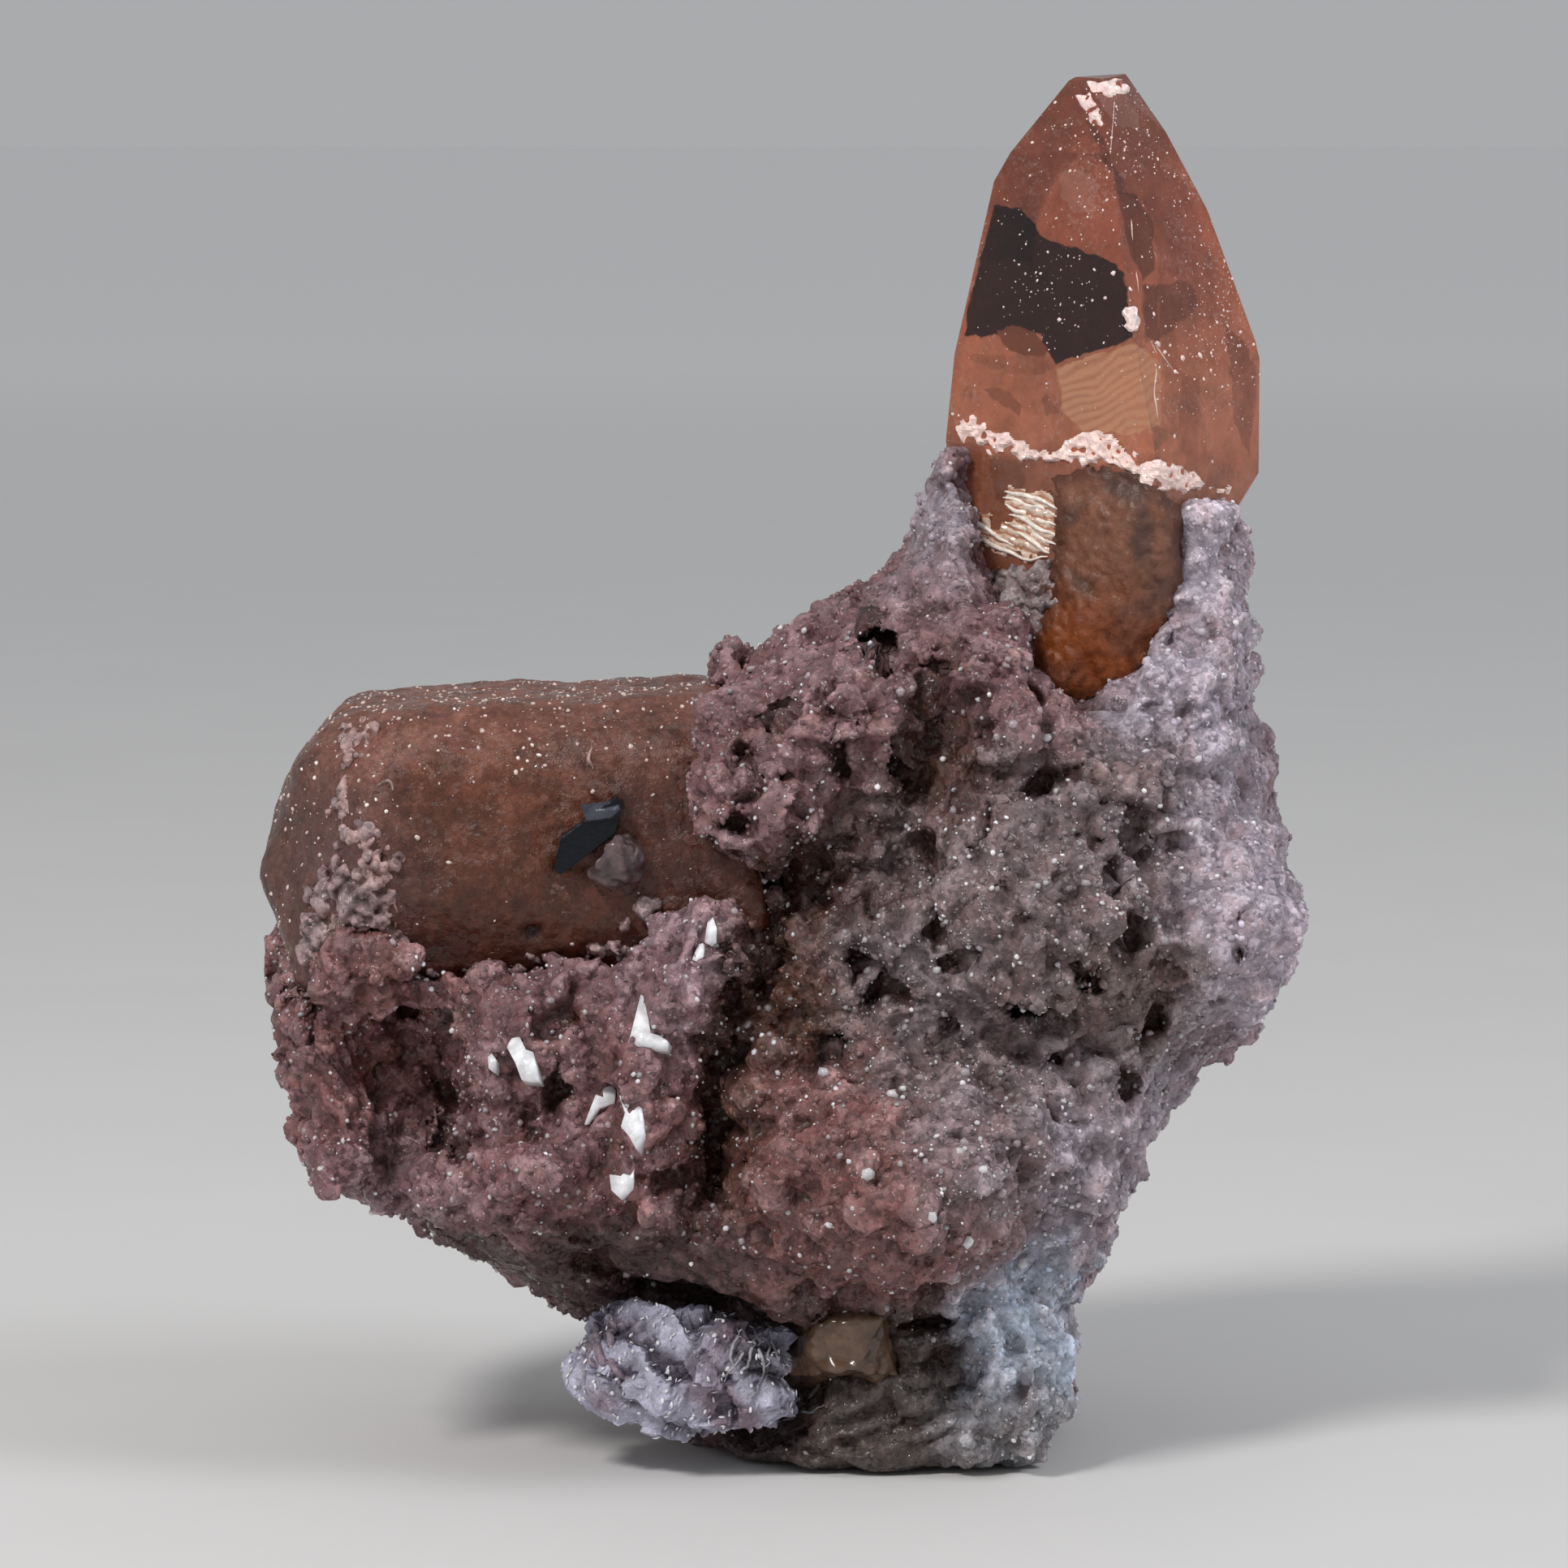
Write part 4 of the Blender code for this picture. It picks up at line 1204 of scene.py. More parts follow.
def makeGrains():
    luck = np.random.default_rng(grains["seed"])
    clear = smoothStep(rock["nearest"], 0.25, 0.5) * (1.0 - 0.9 * smoothStep(rock["hollow"], 0.0, 0.15))
    footFree = smoothStep(rock["points"][:, 2], 0.25, 0.5)
    allowed = clear * footFree * (1.0 - 0.85 * rock["smoothArea"])
    places, normals = scatterOn(luck, rock["points"], rock["triangles"], allowed, grains["tries"])
    sizes = unevenSizes(luck, len(places), grains["sizes"], 2.0)
    places = places + normals * (sizes * luck.uniform(-0.6, 0.1, len(places)))[:, None]
    tints = rockTint(places) * luck.lognormal(0.12, 0.22, len(places))[:, None]
    pale = luck.random(len(places)) < grains["paleShare"]
    tints[pale] = tints[pale] * 0.5 + np.array(grains["paleTone"]) * 0.75
    template = ballForm(1)
    points, faces = grainCloud(luck, places, sizes, (0.7, 1.3), template)
    points = withinBox(points)
    mesh = meshFrom("rockGrains", points, faces)
    paint(mesh, np.repeat(tints, len(template[0]), axis=0))
    addPiece("rockGrains", mesh, grainMaterial())

    pixels = pixelsOf(rock["points"])
    crowd = np.full(len(pixels), 0.5)
    for spot in grains["glitter"]:
        crowd += softSpot(pixels, *spot) * 1.4
    places, normals = scatterOn(luck, rock["points"], rock["triangles"], allowed * crowd,
                                grains["sparkles"])
    sizes = unevenSizes(luck, len(places), grains["sparkleSizes"], 2.0)
    places = places + normals * (sizes * 0.35)[:, None]
    points, faces = grainCloud(luck, places, sizes, (0.7, 1.4), template)
    points = withinBox(points)
    mesh = meshFrom("quartzSparkles", points, faces)
    # painted highlights: the sparkles' near-white colour
    tints = (0.3 + 0.7 * luck.random((len(places), 1)) ** 1.5) * np.array(grains["sparkleTone"])
    paint(mesh, np.repeat(tints, len(template[0]), axis=0))
    addPiece("quartzSparkles", mesh, sparkleMaterial())
    print("grains", len(places))


makeGrains()


# The upright crystal

uprightLook = {
    "bevel": 0.05,
    "ior": 1.62,
    "transmission": 0.68,
    "gleam": 0.35,
    "body": (0.82, 0.30, 0.165),
    "tip": (0.55, 0.160, 0.090),
    "brown": (0.22, 0.075, 0.040),
    "pale": (0.86, 0.52, 0.45),
    # painted reflection: dark surroundings seen in its inner faces
    "dark": (0.016, 0.007, 0.006),
    "yellow": (0.95, 0.52, 0.30),
    "veil": (0.80, 0.46, 0.36),
    "cloud": (0.90, 0.58, 0.50),
    "lineTurn": (-9.0, 0.0, 19.0),
    "absorbColour": (0.75, 0.32, 0.10),
    "absorbDensity": 70.0,
}
# Patches of another tone in its front faces: tone, strength and a convex outline of pixels, clockwise. The
# dark ones are painted reflection: the near-black of dark surroundings seen in its inner faces
uprightPatches = {
    "darkLeft": ("dark", 1.0, ((1226, 254), (1257, 256), (1289, 296), (1291, 413), (1250, 411),
                               (1200, 414))),
    "darkEdge": ("dark", 1.0, ((1222, 262), (1232, 254), (1232, 414), (1188, 414), (1192, 380))),
    "darkRight": ("dark", 1.0, ((1285, 294), (1330, 308), (1374, 322), (1386, 338), (1395, 417),
                                (1300, 447), (1284, 426))),
    "underDark": ("dark", 0.22, ((1290, 440), (1300, 452), (1280, 462), (1240, 460), (1196, 444),
                                 (1196, 436))),
    "striated": ("yellow", 0.9, ((1302, 452), (1391, 423), (1409, 428), (1431, 453), (1430, 524),
                                 (1384, 536), (1330, 529), (1309, 508))),
    "ridgeSliver": ("dark", 0.62, ((1376, 236), (1398, 240), (1420, 272), (1422, 330), (1410, 346),
                                   (1392, 312))),
    "ridgeLine": ("dark", 0.4, ((1338, 148), (1346, 148), (1386, 228), (1380, 240))),
    "rightStep": ("dark", 0.42, ((1408, 350), (1468, 349), (1476, 378), (1440, 410), (1426, 420),
                                 (1409, 420))),
    "rightStrip": ("dark", 0.5, ((1410, 352), (1426, 352), (1428, 420), (1412, 416))),
    "farRight": ("dark", 0.42, ((1510, 404), (1532, 420), (1550, 428), (1552, 470), (1538, 560),
                                (1520, 520))),
    "stairRight": ("dark", 0.2, ((1456, 462), (1478, 466), (1476, 560), (1450, 560))),
    "lobe": ("brown", 0.95, ((1230, 408), (1250, 400), (1276, 410), (1292, 428), (1284, 440), (1262, 440),
                             (1236, 426))),
    "arcLeft": ("brown", 0.6, ((1212, 482), (1232, 476), (1262, 500), (1256, 514), (1232, 498))),
    "arcRight": ("brown", 0.5, ((1283, 490), (1292, 486), (1308, 508), (1290, 514))),
    "smear": ("pale", 0.2, ((1306, 216), (1330, 208), (1354, 226), (1350, 262), (1322, 262), (1308, 240))),
    "tipCloud": ("pale", 0.3, ((1350, 118), (1382, 112), (1404, 140), (1398, 160), (1372, 152))),
    "facetLeft": ("brown", 0.3, ((1168, 548), (1200, 545), (1212, 560), (1206, 618), (1184, 612))),
    "facetMiddle": ("brown", 0.4, ((1216, 566), (1250, 560), (1262, 590), (1246, 622), (1226, 618))),
}


def absorbing(tree, colour, density):
    volume = addNode(tree, "ShaderNodeVolumeAbsorption")
    volume.inputs["Color"].default_value = (*colour, 1.0)
    volume.inputs["Density"].default_value = density
    tree.links.new(volume.outputs["Volume"], tree.nodes["Material Output"].inputs["Volume"])


def patch(tree, place, outline, edge):
    # 1 inside a convex outline of (x, z) points, clockwise as seen from the front, and 0 outside
    inside = None
    for (x1, z1), (x2, z2) in zip(outline, outline[1:] + outline[:1]):
        length = math.hypot(x2 - x1, z2 - z1)
        across = ((z2 - z1) / length, -(x2 - x1) / length)
        reach = across[0] * x1 + across[1] * z1
        along = vectorMath(tree, "DOT_PRODUCT", place, (across[0], 0.0, across[1]))
        side = sums(tree, "SUBTRACT", along, reach)
        inside = side if inside is None else sums(tree, "MINIMUM", inside, side)
    return spread(tree, inside, 0.0, 1.0, -edge, edge)


def uprightMaterial():
    material, tree, shader = newMaterial("clearTopaz", IOR=uprightLook["ior"],
                                         Transmission_Weight=uprightLook["transmission"],
                                         Specular_IOR_Level=uprightLook["gleam"])
    absorbing(tree, uprightLook["absorbColour"], uprightLook["absorbDensity"])
    place = millimetres(tree)
    wander = addNode(tree, "ShaderNodeTexNoise", {"Vector": place, "Scale": 1.8,
                                                  "Detail": 3.0}).outputs["Color"]
    offset = vectorMath(tree, "SUBTRACT", wander, (0.5, 0.5, 0.5))
    ragged = vectorMath(tree, "ADD", place, vectorMath(tree, "SCALE", offset, 0.4))

    parts = addNode(tree, "ShaderNodeSeparateXYZ", {0: place}).outputs
    mottle = mottled(tree, place, (1.1, 6.0, 0.75), 0.6, 1.3)
    tone = mixed(tree, spread(tree, parts["Z"], 0.0, 1.0, 36.5, 41.0), (*uprightLook["body"], 1.0),
                 (*uprightLook["tip"], 1.0))
    tone = mixed(tree, 1.0, tone, mottle, "MULTIPLY")
    veil = spread(tree, noiseNode(tree, place, 0.5, 7.0, 0.8, 0.4), 0.0, 0.55, 0.55, 0.8)
    tone = mixed(tree, veil, tone, (*uprightLook["veil"], 1.0))
    cloudy = spread(tree, noiseNode(tree, place, 1.6, 3.0, 0.6), 0.0, 1.0, 0.42, 0.62)
    fine = spread(tree, noiseNode(tree, place, 0.16, 4.0, 0.7), 0.0, 0.75, 0.5, 0.68)
    cloudy = sums(tree, "MULTIPLY", cloudy, fine)
    tone = mixed(tree, cloudy, tone, (*uprightLook["cloud"], 1.0))
    side = spread(tree, parts["X"], 0.82, 1.1, 10.0, 13.5)
    tone = mixed(tree, 1.0, tone, side, "MULTIPLY")
    depth = addNode(tree, "ShaderNodeSeparateXYZ", {0: ragged}).outputs["Y"]
    front = spread(tree, depth, 1.0, 0.0, 0.65, 0.8)
    across = vectorMath(tree, "DOT_PRODUCT", place, uprightLook["lineTurn"])
    bend = sums(tree, "MULTIPLY", noiseNode(tree, place, 2.4, 2.0, 0.5), 26.0)
    lines = sums(tree, "ADD", across, bend)
    lines = addNode(tree, "ShaderNodeMath", {0: lines}, operation="SINE").outputs["Value"]
    lines = spread(tree, lines, 0.45, 1.0, -0.9, 0.5)
    # the patches; the dark ones are painted reflection
    for name, (colour, strength, outline) in uprightPatches.items():
        spots = [findUpright(*pixel)[0] for pixel in outline]
        corners = tuple((spot[0], spot[2]) for spot in spots if spot is not None)
        share = sums(tree, "MULTIPLY", patch(tree, ragged, corners, 0.03), front)
        share = sums(tree, "MULTIPLY", share, strength)
        share = sums(tree, "MULTIPLY", share, lines) if name == "striated" else share
        tone = mixed(tree, share, tone, (*uprightLook[colour], 1.0))
    tree.links.new(tone, shader.inputs["Base Color"])
    gloss = spread(tree, noiseNode(tree, place, 0.8, 4.0, 0.65), 0.03, 0.24, 0.35, 0.7)
    tree.links.new(gloss, shader.inputs["Roughness"])
    bumped(tree, shader, noiseNode(tree, place, 0.5, 4.0, 0.6), 0.12, 0.08)
    return material


def bevelled(form, piece, offset):
    bmesh.ops.bevel(form, geom=form.edges[:], offset=offset * mm, segments=2,
                    profile=0.5, affect="EDGES", clamp_overlap=True)
    return meshOf(form, piece)


uprightMesh = bevelled(upright.copy(), "uprightTopaz", uprightLook["bevel"])
uprightTopaz = addPiece("uprightTopaz", uprightMesh, uprightMaterial())
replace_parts(uprightTopaz, "upright_topaz")
print("upright crystal ready")


# The left crystal

leftLook = {
    "grid": 0.18,
    "ior": 1.62,
    "transmission": 0.45,
    "gleam": 0.22,
    "absorbColour": (0.62, 0.25, 0.10),
    "absorbDensity": 160.0,
    "pitSize": 0.8,
    "pitDepth": 0.14,
    "specks": 1500,
    "speckSizes": (0.02, 0.10),
    "speckTone": (0.95, 0.76, 0.68),
    "ridgeShape": (0.07, 0.0, 0.12),      # radius, how far proud, wander
    "ridgeTone": (0.36, 0.24, 0.22),
    "lumpTones": ((0.20, 0.11, 0.10), (0.46, 0.32, 0.31)),
    "glintTone": (1.0, 0.90, 0.84),
    "cloud": (1.5, 1.75, 1.95),
    "speckClouds": ((620, 915, 160, 50), (450, 1000, 50, 90)),    # across, down, half width, half height
}
# Its tones: colour, and where each lies by pixel of the front, with half sizes
leftTones = {
    "top": ((0.262, 0.096, 0.062), (560, 850), (320, 62)),
    "topLeft": ((0.285, 0.112, 0.078), (420, 900), (110, 70)),
    "leftEdge": ((0.175, 0.074, 0.055), (345, 1000), (50, 150)),
    "orange": ((0.192, 0.054, 0.021), (610, 1010), (110, 80)),
    "middle": ((0.100, 0.025, 0.010), (520, 1060), (150, 70)),
    "low": ((0.112, 0.028, 0.011), (620, 1140), (200, 45)),
    "right": ((0.120, 0.034, 0.018), (800, 1040), (70, 80)),
    "rightTop": ((0.212, 0.078, 0.052), (780, 900), (90, 60)),
    "lilac": ((0.260, 0.140, 0.135), (440, 1100), (60, 90)),
}
# Dents of its front: across, down, width in pixels, depth, and the darkness of the painted shade in them
leftDents = ((654, 1151, 8, 0.3, 0.9), (651, 930, 16, 0.16, 0.35), (640, 922, 6, 0.12, 0.6),
             (660, 940, 6, 0.12, 0.6))
leftRidges = (((486, 1112), (488, 1132), (484, 1154)), ((726, 906), (728, 930), (733, 948)),
              ((462, 968), (478, 962), (488, 976)))
# small lumps of its pale ridges, and bright grains that stand in for glints (painted highlights): across,
# down, radius
leftLumps = ((423, 896, 0.16), (432, 904, 0.22), (442, 911, 0.27), (452, 905, 0.2), (459, 901, 0.14),
             (438, 926, 0.2), (432, 944, 0.22), (428, 960, 0.17), (423, 976, 0.2), (420, 990, 0.24),
             (417, 1004, 0.18), (424, 1022, 0.24), (434, 1034, 0.18), (448, 1044, 0.24), (456, 1058, 0.34),
             (464, 1074, 0.36), (462, 1092, 0.3), (470, 1048, 0.22))
leftGlints = ((645, 922, 0.09), (656, 918, 0.08), (664, 930, 0.10), (650, 938, 0.07), (638, 934, 0.09),
              (660, 944, 0.08), (643, 948, 0.06), (493, 1178, 0.15), (424, 1026, 0.14), (466, 1056, 0.15),
              (388, 958, 0.10), (372, 948, 0.08), (463, 985, 0.09), (476, 1000, 0.08), (452, 992, 0.07),
              (440, 912, 0.13), (390, 940, 0.08), (358, 1010, 0.07), (560, 874, 0.08), (620, 862, 0.09),
              (700, 858, 0.07), (806, 848, 0.08), (576, 870, 0.06), (478, 1208, 0.1))
leftCrust = ((429, 1118, 0.55), (450, 1132, 0.6), (408, 1160, 0.5), (438, 1188, 0.55), (416, 1190, 0.45),
             (462, 1096, 0.4), (468, 1062, 0.36), (396, 1140, 0.4), (470, 1160, 0.42), (420, 1080, 0.3),
             (448, 1020, 0.28), (500, 1190, 0.45), (436, 1210, 0.5), (470, 1205, 0.4), (404, 1070, 0.28),
             (385, 1100, 0.3), (418, 985, 0.22), (424, 1040, 0.25), (560, 1225, 0.4), (600, 1215, 0.4),
             (640, 1200, 0.45), (690, 1190, 0.4), (720, 1175, 0.3), (660, 1180, 0.3), (775, 1150, 0.4),
             (800, 1120, 0.35), (752, 1170, 0.4), (530, 1205, 0.3), (585, 1195, 0.25), (440, 1108, 0.5),
             (428, 1090, 0.42), (446, 1150, 0.6), (420, 1140, 0.6), (400, 1180, 0.5), (456, 1180, 0.6),
             (484, 1170, 0.4), (390, 1120, 0.36), (374, 1150, 0.4), (380, 1180, 0.45), (476, 1120, 0.36),
             (404, 1100, 0.4))


def leftMaterial():
    material, tree, shader = newMaterial("etchedTopaz", IOR=leftLook["ior"],
                                         Specular_IOR_Level=leftLook["gleam"],
                                         Transmission_Weight=leftLook["transmission"])
    absorbing(tree, leftLook["absorbColour"], leftLook["absorbDensity"])
    place = millimetres(tree)
    tint = tintNode(tree).outputs["Color"]
    mottle = spread(tree, noiseNode(tree, place, 1.2, 5.0, 0.75), 0.5, 1.5, 0.32, 0.68)
    sugar = spread(tree, noiseNode(tree, place, 0.2, 3.0, 0.7), 0.86, 1.18, 0.35, 0.65)
    colour = mixed(tree, 1.0, tint, sums(tree, "MULTIPLY", mottle, sugar), "MULTIPLY")
    cloud = spread(tree, noiseNode(tree, place, 0.8, 5.0, 0.75), 0.0, 0.7, 0.5, 0.7)
    colour = mixed(tree, cloud, colour, mixed(tree, 1.0, colour, (*leftLook["cloud"], 1.0), "MULTIPLY"))
    tree.links.new(colour, shader.inputs["Base Color"])
    facets, luck, _ = faceted(tree, place, 0.24)
    gloss = sums(tree, "ADD", mottled(tree, place, (0.6, 3.0, 0.6), 0.16, 0.4),
                 spread(tree, luck, -0.1, 0.3))
    tree.links.new(gloss, shader.inputs["Roughness"])
    height = sums(tree, "ADD", noiseNode(tree, place, 0.25, 4.0, 0.65), sums(tree, "MULTIPLY", facets, 0.6))
    bumped(tree, shader, height, 0.8, 0.11)
    return material


def leftMesh():
    mesh = remeshed(meshOf(leftHull, "leftTopaz"), leftLook["grid"])
    mesh.name = "leftTopaz"
    points = pointsOf(mesh)
    for _ in range(26):
        points = points + 0.7 * (neighbourMean(points, edgesOf(mesh)) - points)
    normals = vertexNormals(points, trianglesOf(mesh))
    points = points + normals * 0.12
    pixels = pixelsOf(points)
    front = 1.0 - smoothStep(normals[:, 1], -0.1, 0.4)
    relief = noiseAt(points, 2.4, 21.0) * 0.1 + noiseAt(points, 0.55, 23.0) * 0.05
    near, luck = cellsAt(points, leftLook["pitSize"], 22.0)
    relief -= np.where(luck > 0.3, 1.0 - smoothStep(near, 0.1, 0.4), 0.0) * leftLook["pitDepth"]
    shade = np.zeros(len(points))
    for across, down, wide, deep, gloom in leftDents:
        far = np.linalg.norm(pixels - np.array((across, down)),
                             axis=1) * (1.0 + 0.4 * noiseAt(points, 0.4, 26.0))
        share = (1.0 - smoothStep(far, wide * 0.5, wide * 1.4)) * front
        relief -= share * deep
        shade = np.maximum(shade, share * gloom)
    setPoints(mesh, points + normals * (relief - 0.06)[:, None])

    pixels = pixels + np.stack([noiseAt(points, 1.8, 24.0), noiseAt(points, 1.8, 25.0)], axis=1) * 26.0
    total = np.full(len(points), 1e-6)
    tint = np.zeros((len(points), 3)) + 1e-6 * np.array(leftTones["middle"][0])
    for colour, middle, halves in leftTones.values():
        offset = (pixels - np.array(middle)) / np.array(halves)
        weight = np.exp(-1.4 * (offset ** 2).sum(axis=1))
        total += weight
        tint += weight[:, None] * np.array(colour)
    # the dents darkened: painted shade
    tint = tint / total[:, None] * (1.0 - 0.85 * shade[:, None])
    paint(mesh, tint)
    shadeSmooth(mesh)
    mesh.materials.clear()
    return mesh


def crustMesh(name, find, spots, grid, seed, low=(0.075, 0.042, 0.040), high=(0.36, 0.26, 0.27)):
    # sugary lumps grown on a surface at pixels (across, down, radius), joined into one crust
    luck = np.random.default_rng(int(seed))
    points, faces = grainsAt(find, luck, spots, 0.35, ballForm(2))
    mesh = remeshed(meshFrom(name, points, faces), grid)
    mesh.name = name
    points = relax(pointsOf(mesh), edgesOf(mesh), 1)
    triangles = trianglesOf(mesh)
    relief = billow(points, 0.7, seed) * 0.3 + billow(points, 0.34, seed + 1.0) * 0.16
    points = points + vertexNormals(points, triangles) * relief[:, None]
    setPoints(mesh, points)
    # painted shade: the creases between the lumps dark, the lumps light
    light = smoothStep(relief, -0.14, 0.10)[:, None]
    paint(mesh, blended(low, high, light))
    shadeSmooth(mesh)
    mesh.materials.clear()
    return mesh


def makeLeftTopaz():
    mesh = leftMesh()
    leftTopaz = addPiece("leftTopaz", mesh, leftMaterial())
    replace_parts(leftTopaz, "left_topaz")
    points = pointsOf(mesh)
    triangles = trianglesOf(mesh)
    find = finderOn(points, triangles)
    luck = np.random.default_rng(32)
    spots = [(across + luck.normal(0.0, 7.0), down + luck.normal(0.0, 7.0),
              radius * luck.uniform(0.7, 1.25))
             for across, down, radius in leftCrust for _ in range(2)]
    crust = crustMesh("topazCrust", find, spots, 0.10, 27.0)
    addPiece("topazCrust", crust, bpy.data.materials["sugaryRock"])
    luck = np.random.default_rng(31)
    lumps = [(across + luck.normal(0.0, 6.0), down + luck.normal(0.0, 6.0), radius * luck.uniform(0.5, 1.2))
             for across, down, radius in leftLumps for _ in range(3)]
    lumps = crustMesh("paleLumps", find, lumps, 0.07, 30.0, *leftLook["lumpTones"])
    addPiece("paleLumps", lumps, bpy.data.materials["sugaryRock"])
    addStrands("paleRidges", find, leftRidges, leftLook["ridgeShape"], 28.0,
               bpy.data.materials["sugaryRock"],
               leftLook["ridgeTone"])

    luck = np.random.default_rng(29)
    bright, sides = grainsAt(find, luck, leftGlints, 0.3)
    tone = glossyMaterial("topazGlints", leftLook["glintTone"], 0.03, 0.2, 0.25, 0.0)
    addPiece("topazGlints", meshFrom("topazGlints", bright, sides), tone)
    pixels = pixelsOf(points)
    allowed = 0.08 + np.exp(-((pixels[:, 1] - 850.0) / 60.0) ** 2)
    allowed += np.exp(-((pixels[:, 0] - 350.0) / 60.0) ** 2)
    for spot in leftLook["speckClouds"]:
        allowed += 0.9 * softSpot(pixels, *spot)
    places, facing = scatterOn(luck, points, triangles, allowed, leftLook["specks"])
    sizes = unevenSizes(luck, len(places), leftLook["speckSizes"], 2.0)
    specks, faces = grainCloud(luck, places - facing * sizes[:, None] * 0.35, sizes, (0.6, 1.5),
                               ballForm(1))
    tone = glossyMaterial("topazSpecks", leftLook["speckTone"], 0.05, 0.35, 0.25, 0.3)
    addPiece("topazSpecks", meshFrom("topazSpecks", specks, faces), tone)


makeLeftTopaz()
print("left crystal ready")


# Features of the upright crystal's front, laid on its faces, among them painted reflections and highlights

uprightMarks = {
    "band": ((1170, 511), (1191, 514), (1227, 526), (1269, 547), (1300, 550), (1330, 532), (1366, 529),
             (1384, 544), (1403, 565), (1445, 568), (1469, 581), (1487, 599), (1512, 600), (1512, 612),
             (1463, 609), (1427, 608), (1403, 595), (1384, 577), (1342, 577), (1312, 567), (1269, 570),
             (1221, 558), (1191, 543), (1170, 531)),
    # painted reflection from a fracture inside the crystal, as a sheet and bright strands
    "flash": ((1238, 604), (1262, 600), (1292, 604), (1306, 620), (1308, 660), (1296, 692), (1262, 694),
              (1228, 684), (1200, 662), (1184, 636), (1180, 612), (1194, 608), (1208, 632), (1228, 646),
              (1240, 636), (1232, 618)),
    "flashLines": (((1181, 613), (1190, 640), (1210, 662), (1244, 682), (1292, 688)),
                   ((1188, 610), (1198, 636), (1220, 656), (1252, 672)),
                   ((1240, 605), (1270, 611), (1304, 624)), ((1238, 613), (1270, 621), (1305, 637)),
                   ((1240, 623), (1268, 633), (1306, 648)), ((1242, 634), (1270, 645), (1304, 659)),
                   ((1246, 646), (1272, 658), (1302, 671)), ((1252, 658), (1276, 670), (1296, 681))),
    # painted highlights along its ridges and edges
    "lines": (((1421, 420), (1434, 440), (1449, 461)), ((1424, 452), (1423, 484), (1426, 518)),
              ((1392, 262), (1397, 300), (1403, 362)), ((1412, 412), (1420, 424), (1426, 438))),
    "tip": ((1333, 96), (1383, 97), (1392, 112), (1372, 122), (1352, 118), (1338, 108)),
    "chips": ((1326, 118), (1342, 112), (1352, 128), (1364, 140), (1358, 158), (1344, 152), (1334, 136)),
    "ridgeChip": ((1384, 376), (1398, 372), (1407, 392), (1402, 410), (1388, 408), (1380, 396)),
    "dots": ((1427, 424, 0.15), (1435, 434, 0.10), (1457, 441, 0.12), (1480, 438, 0.17), (1448, 458, 0.09),
             (1372, 336, 0.10), (1348, 332, 0.08), (1305, 393, 0.12), (1392, 356, 0.11), (1447, 538, 0.10),
             (1424, 450, 0.07), (1425, 470, 0.06), (1426, 492, 0.06), (1298, 712, 0.12), (1190, 684, 0.08)),
    "flashShape": (0.09, 0.065, 0.09),    # radius, how far proud, wander
    "lineShape": (0.035, -0.015, 0.04),
    "bandWaves": (0.36, 0.15),
    "flashWaves": (0.5, 0.05),
    "bandTone": (0.98, 0.76, 0.70),
    "flashTurn": (6.1, 0.0, 20.0),
    "flashTone": (1.0, 0.78, 0.62),
    "flashDim": (0.60, 0.25, 0.14),
    "lineTone": (1.0, 0.90, 0.80),
    "ridgeHighlightTone": (0.95, 0.68, 0.58),
    "chipTone": (0.95, 0.74, 0.70),
    "specks": 1900,
    "speckSizes": (0.015, 0.065),
    "speckClouds": ((1330, 190, 60, 70), (1500, 330, 36, 90), (1430, 200, 50, 70), (1380, 130, 30, 30),
                    (1525, 380, 20, 60), (1290, 350, 70, 60), (1480, 440, 60, 60)),
}


def crumpled(size, height, seed):
    def relief(places):
        return (0.5 - np.abs(noiseAt(places, size, seed))) * height * 2.0
    return relief


def flashMaterial():
    # painted reflection: bright bands that stand in for light reflected from the steps of a fracture inside,
    # with the crystal's own tone between them
    material, tree, shader = newMaterial("flashGlass", IOR=1.62, Transmission_Weight=0.25,
                                         Specular_IOR_Level=0.5)
    place = millimetres(tree)
    across = vectorMath(tree, "DOT_PRODUCT", place, uprightMarks["flashTurn"])
    bend = sums(tree, "MULTIPLY", noiseNode(tree, place, 0.9, 3.0, 0.6), 12.0)
    bands = sums(tree, "ADD", across, bend)
    bands = addNode(tree, "ShaderNodeMath", {0: bands}, operation="SINE").outputs["Value"]
    share = sums(tree, "MULTIPLY", spread(tree, bands, 0.0, 1.0, -0.95, -0.1),
                 spread(tree, noiseNode(tree, place, 0.45, 3.0, 0.6), 0.35, 1.0, 0.32, 0.5))
    colour = mixed(tree, share, (*uprightMarks["flashDim"], 1.0), (*uprightMarks["flashTone"], 1.0))
    tree.links.new(colour, shader.inputs["Base Color"])
    tree.links.new(mottled(tree, place, (0.3,), 0.05, 0.28), shader.inputs["Roughness"])
    bumped(tree, shader, bands, 0.5, 0.05)
    return material


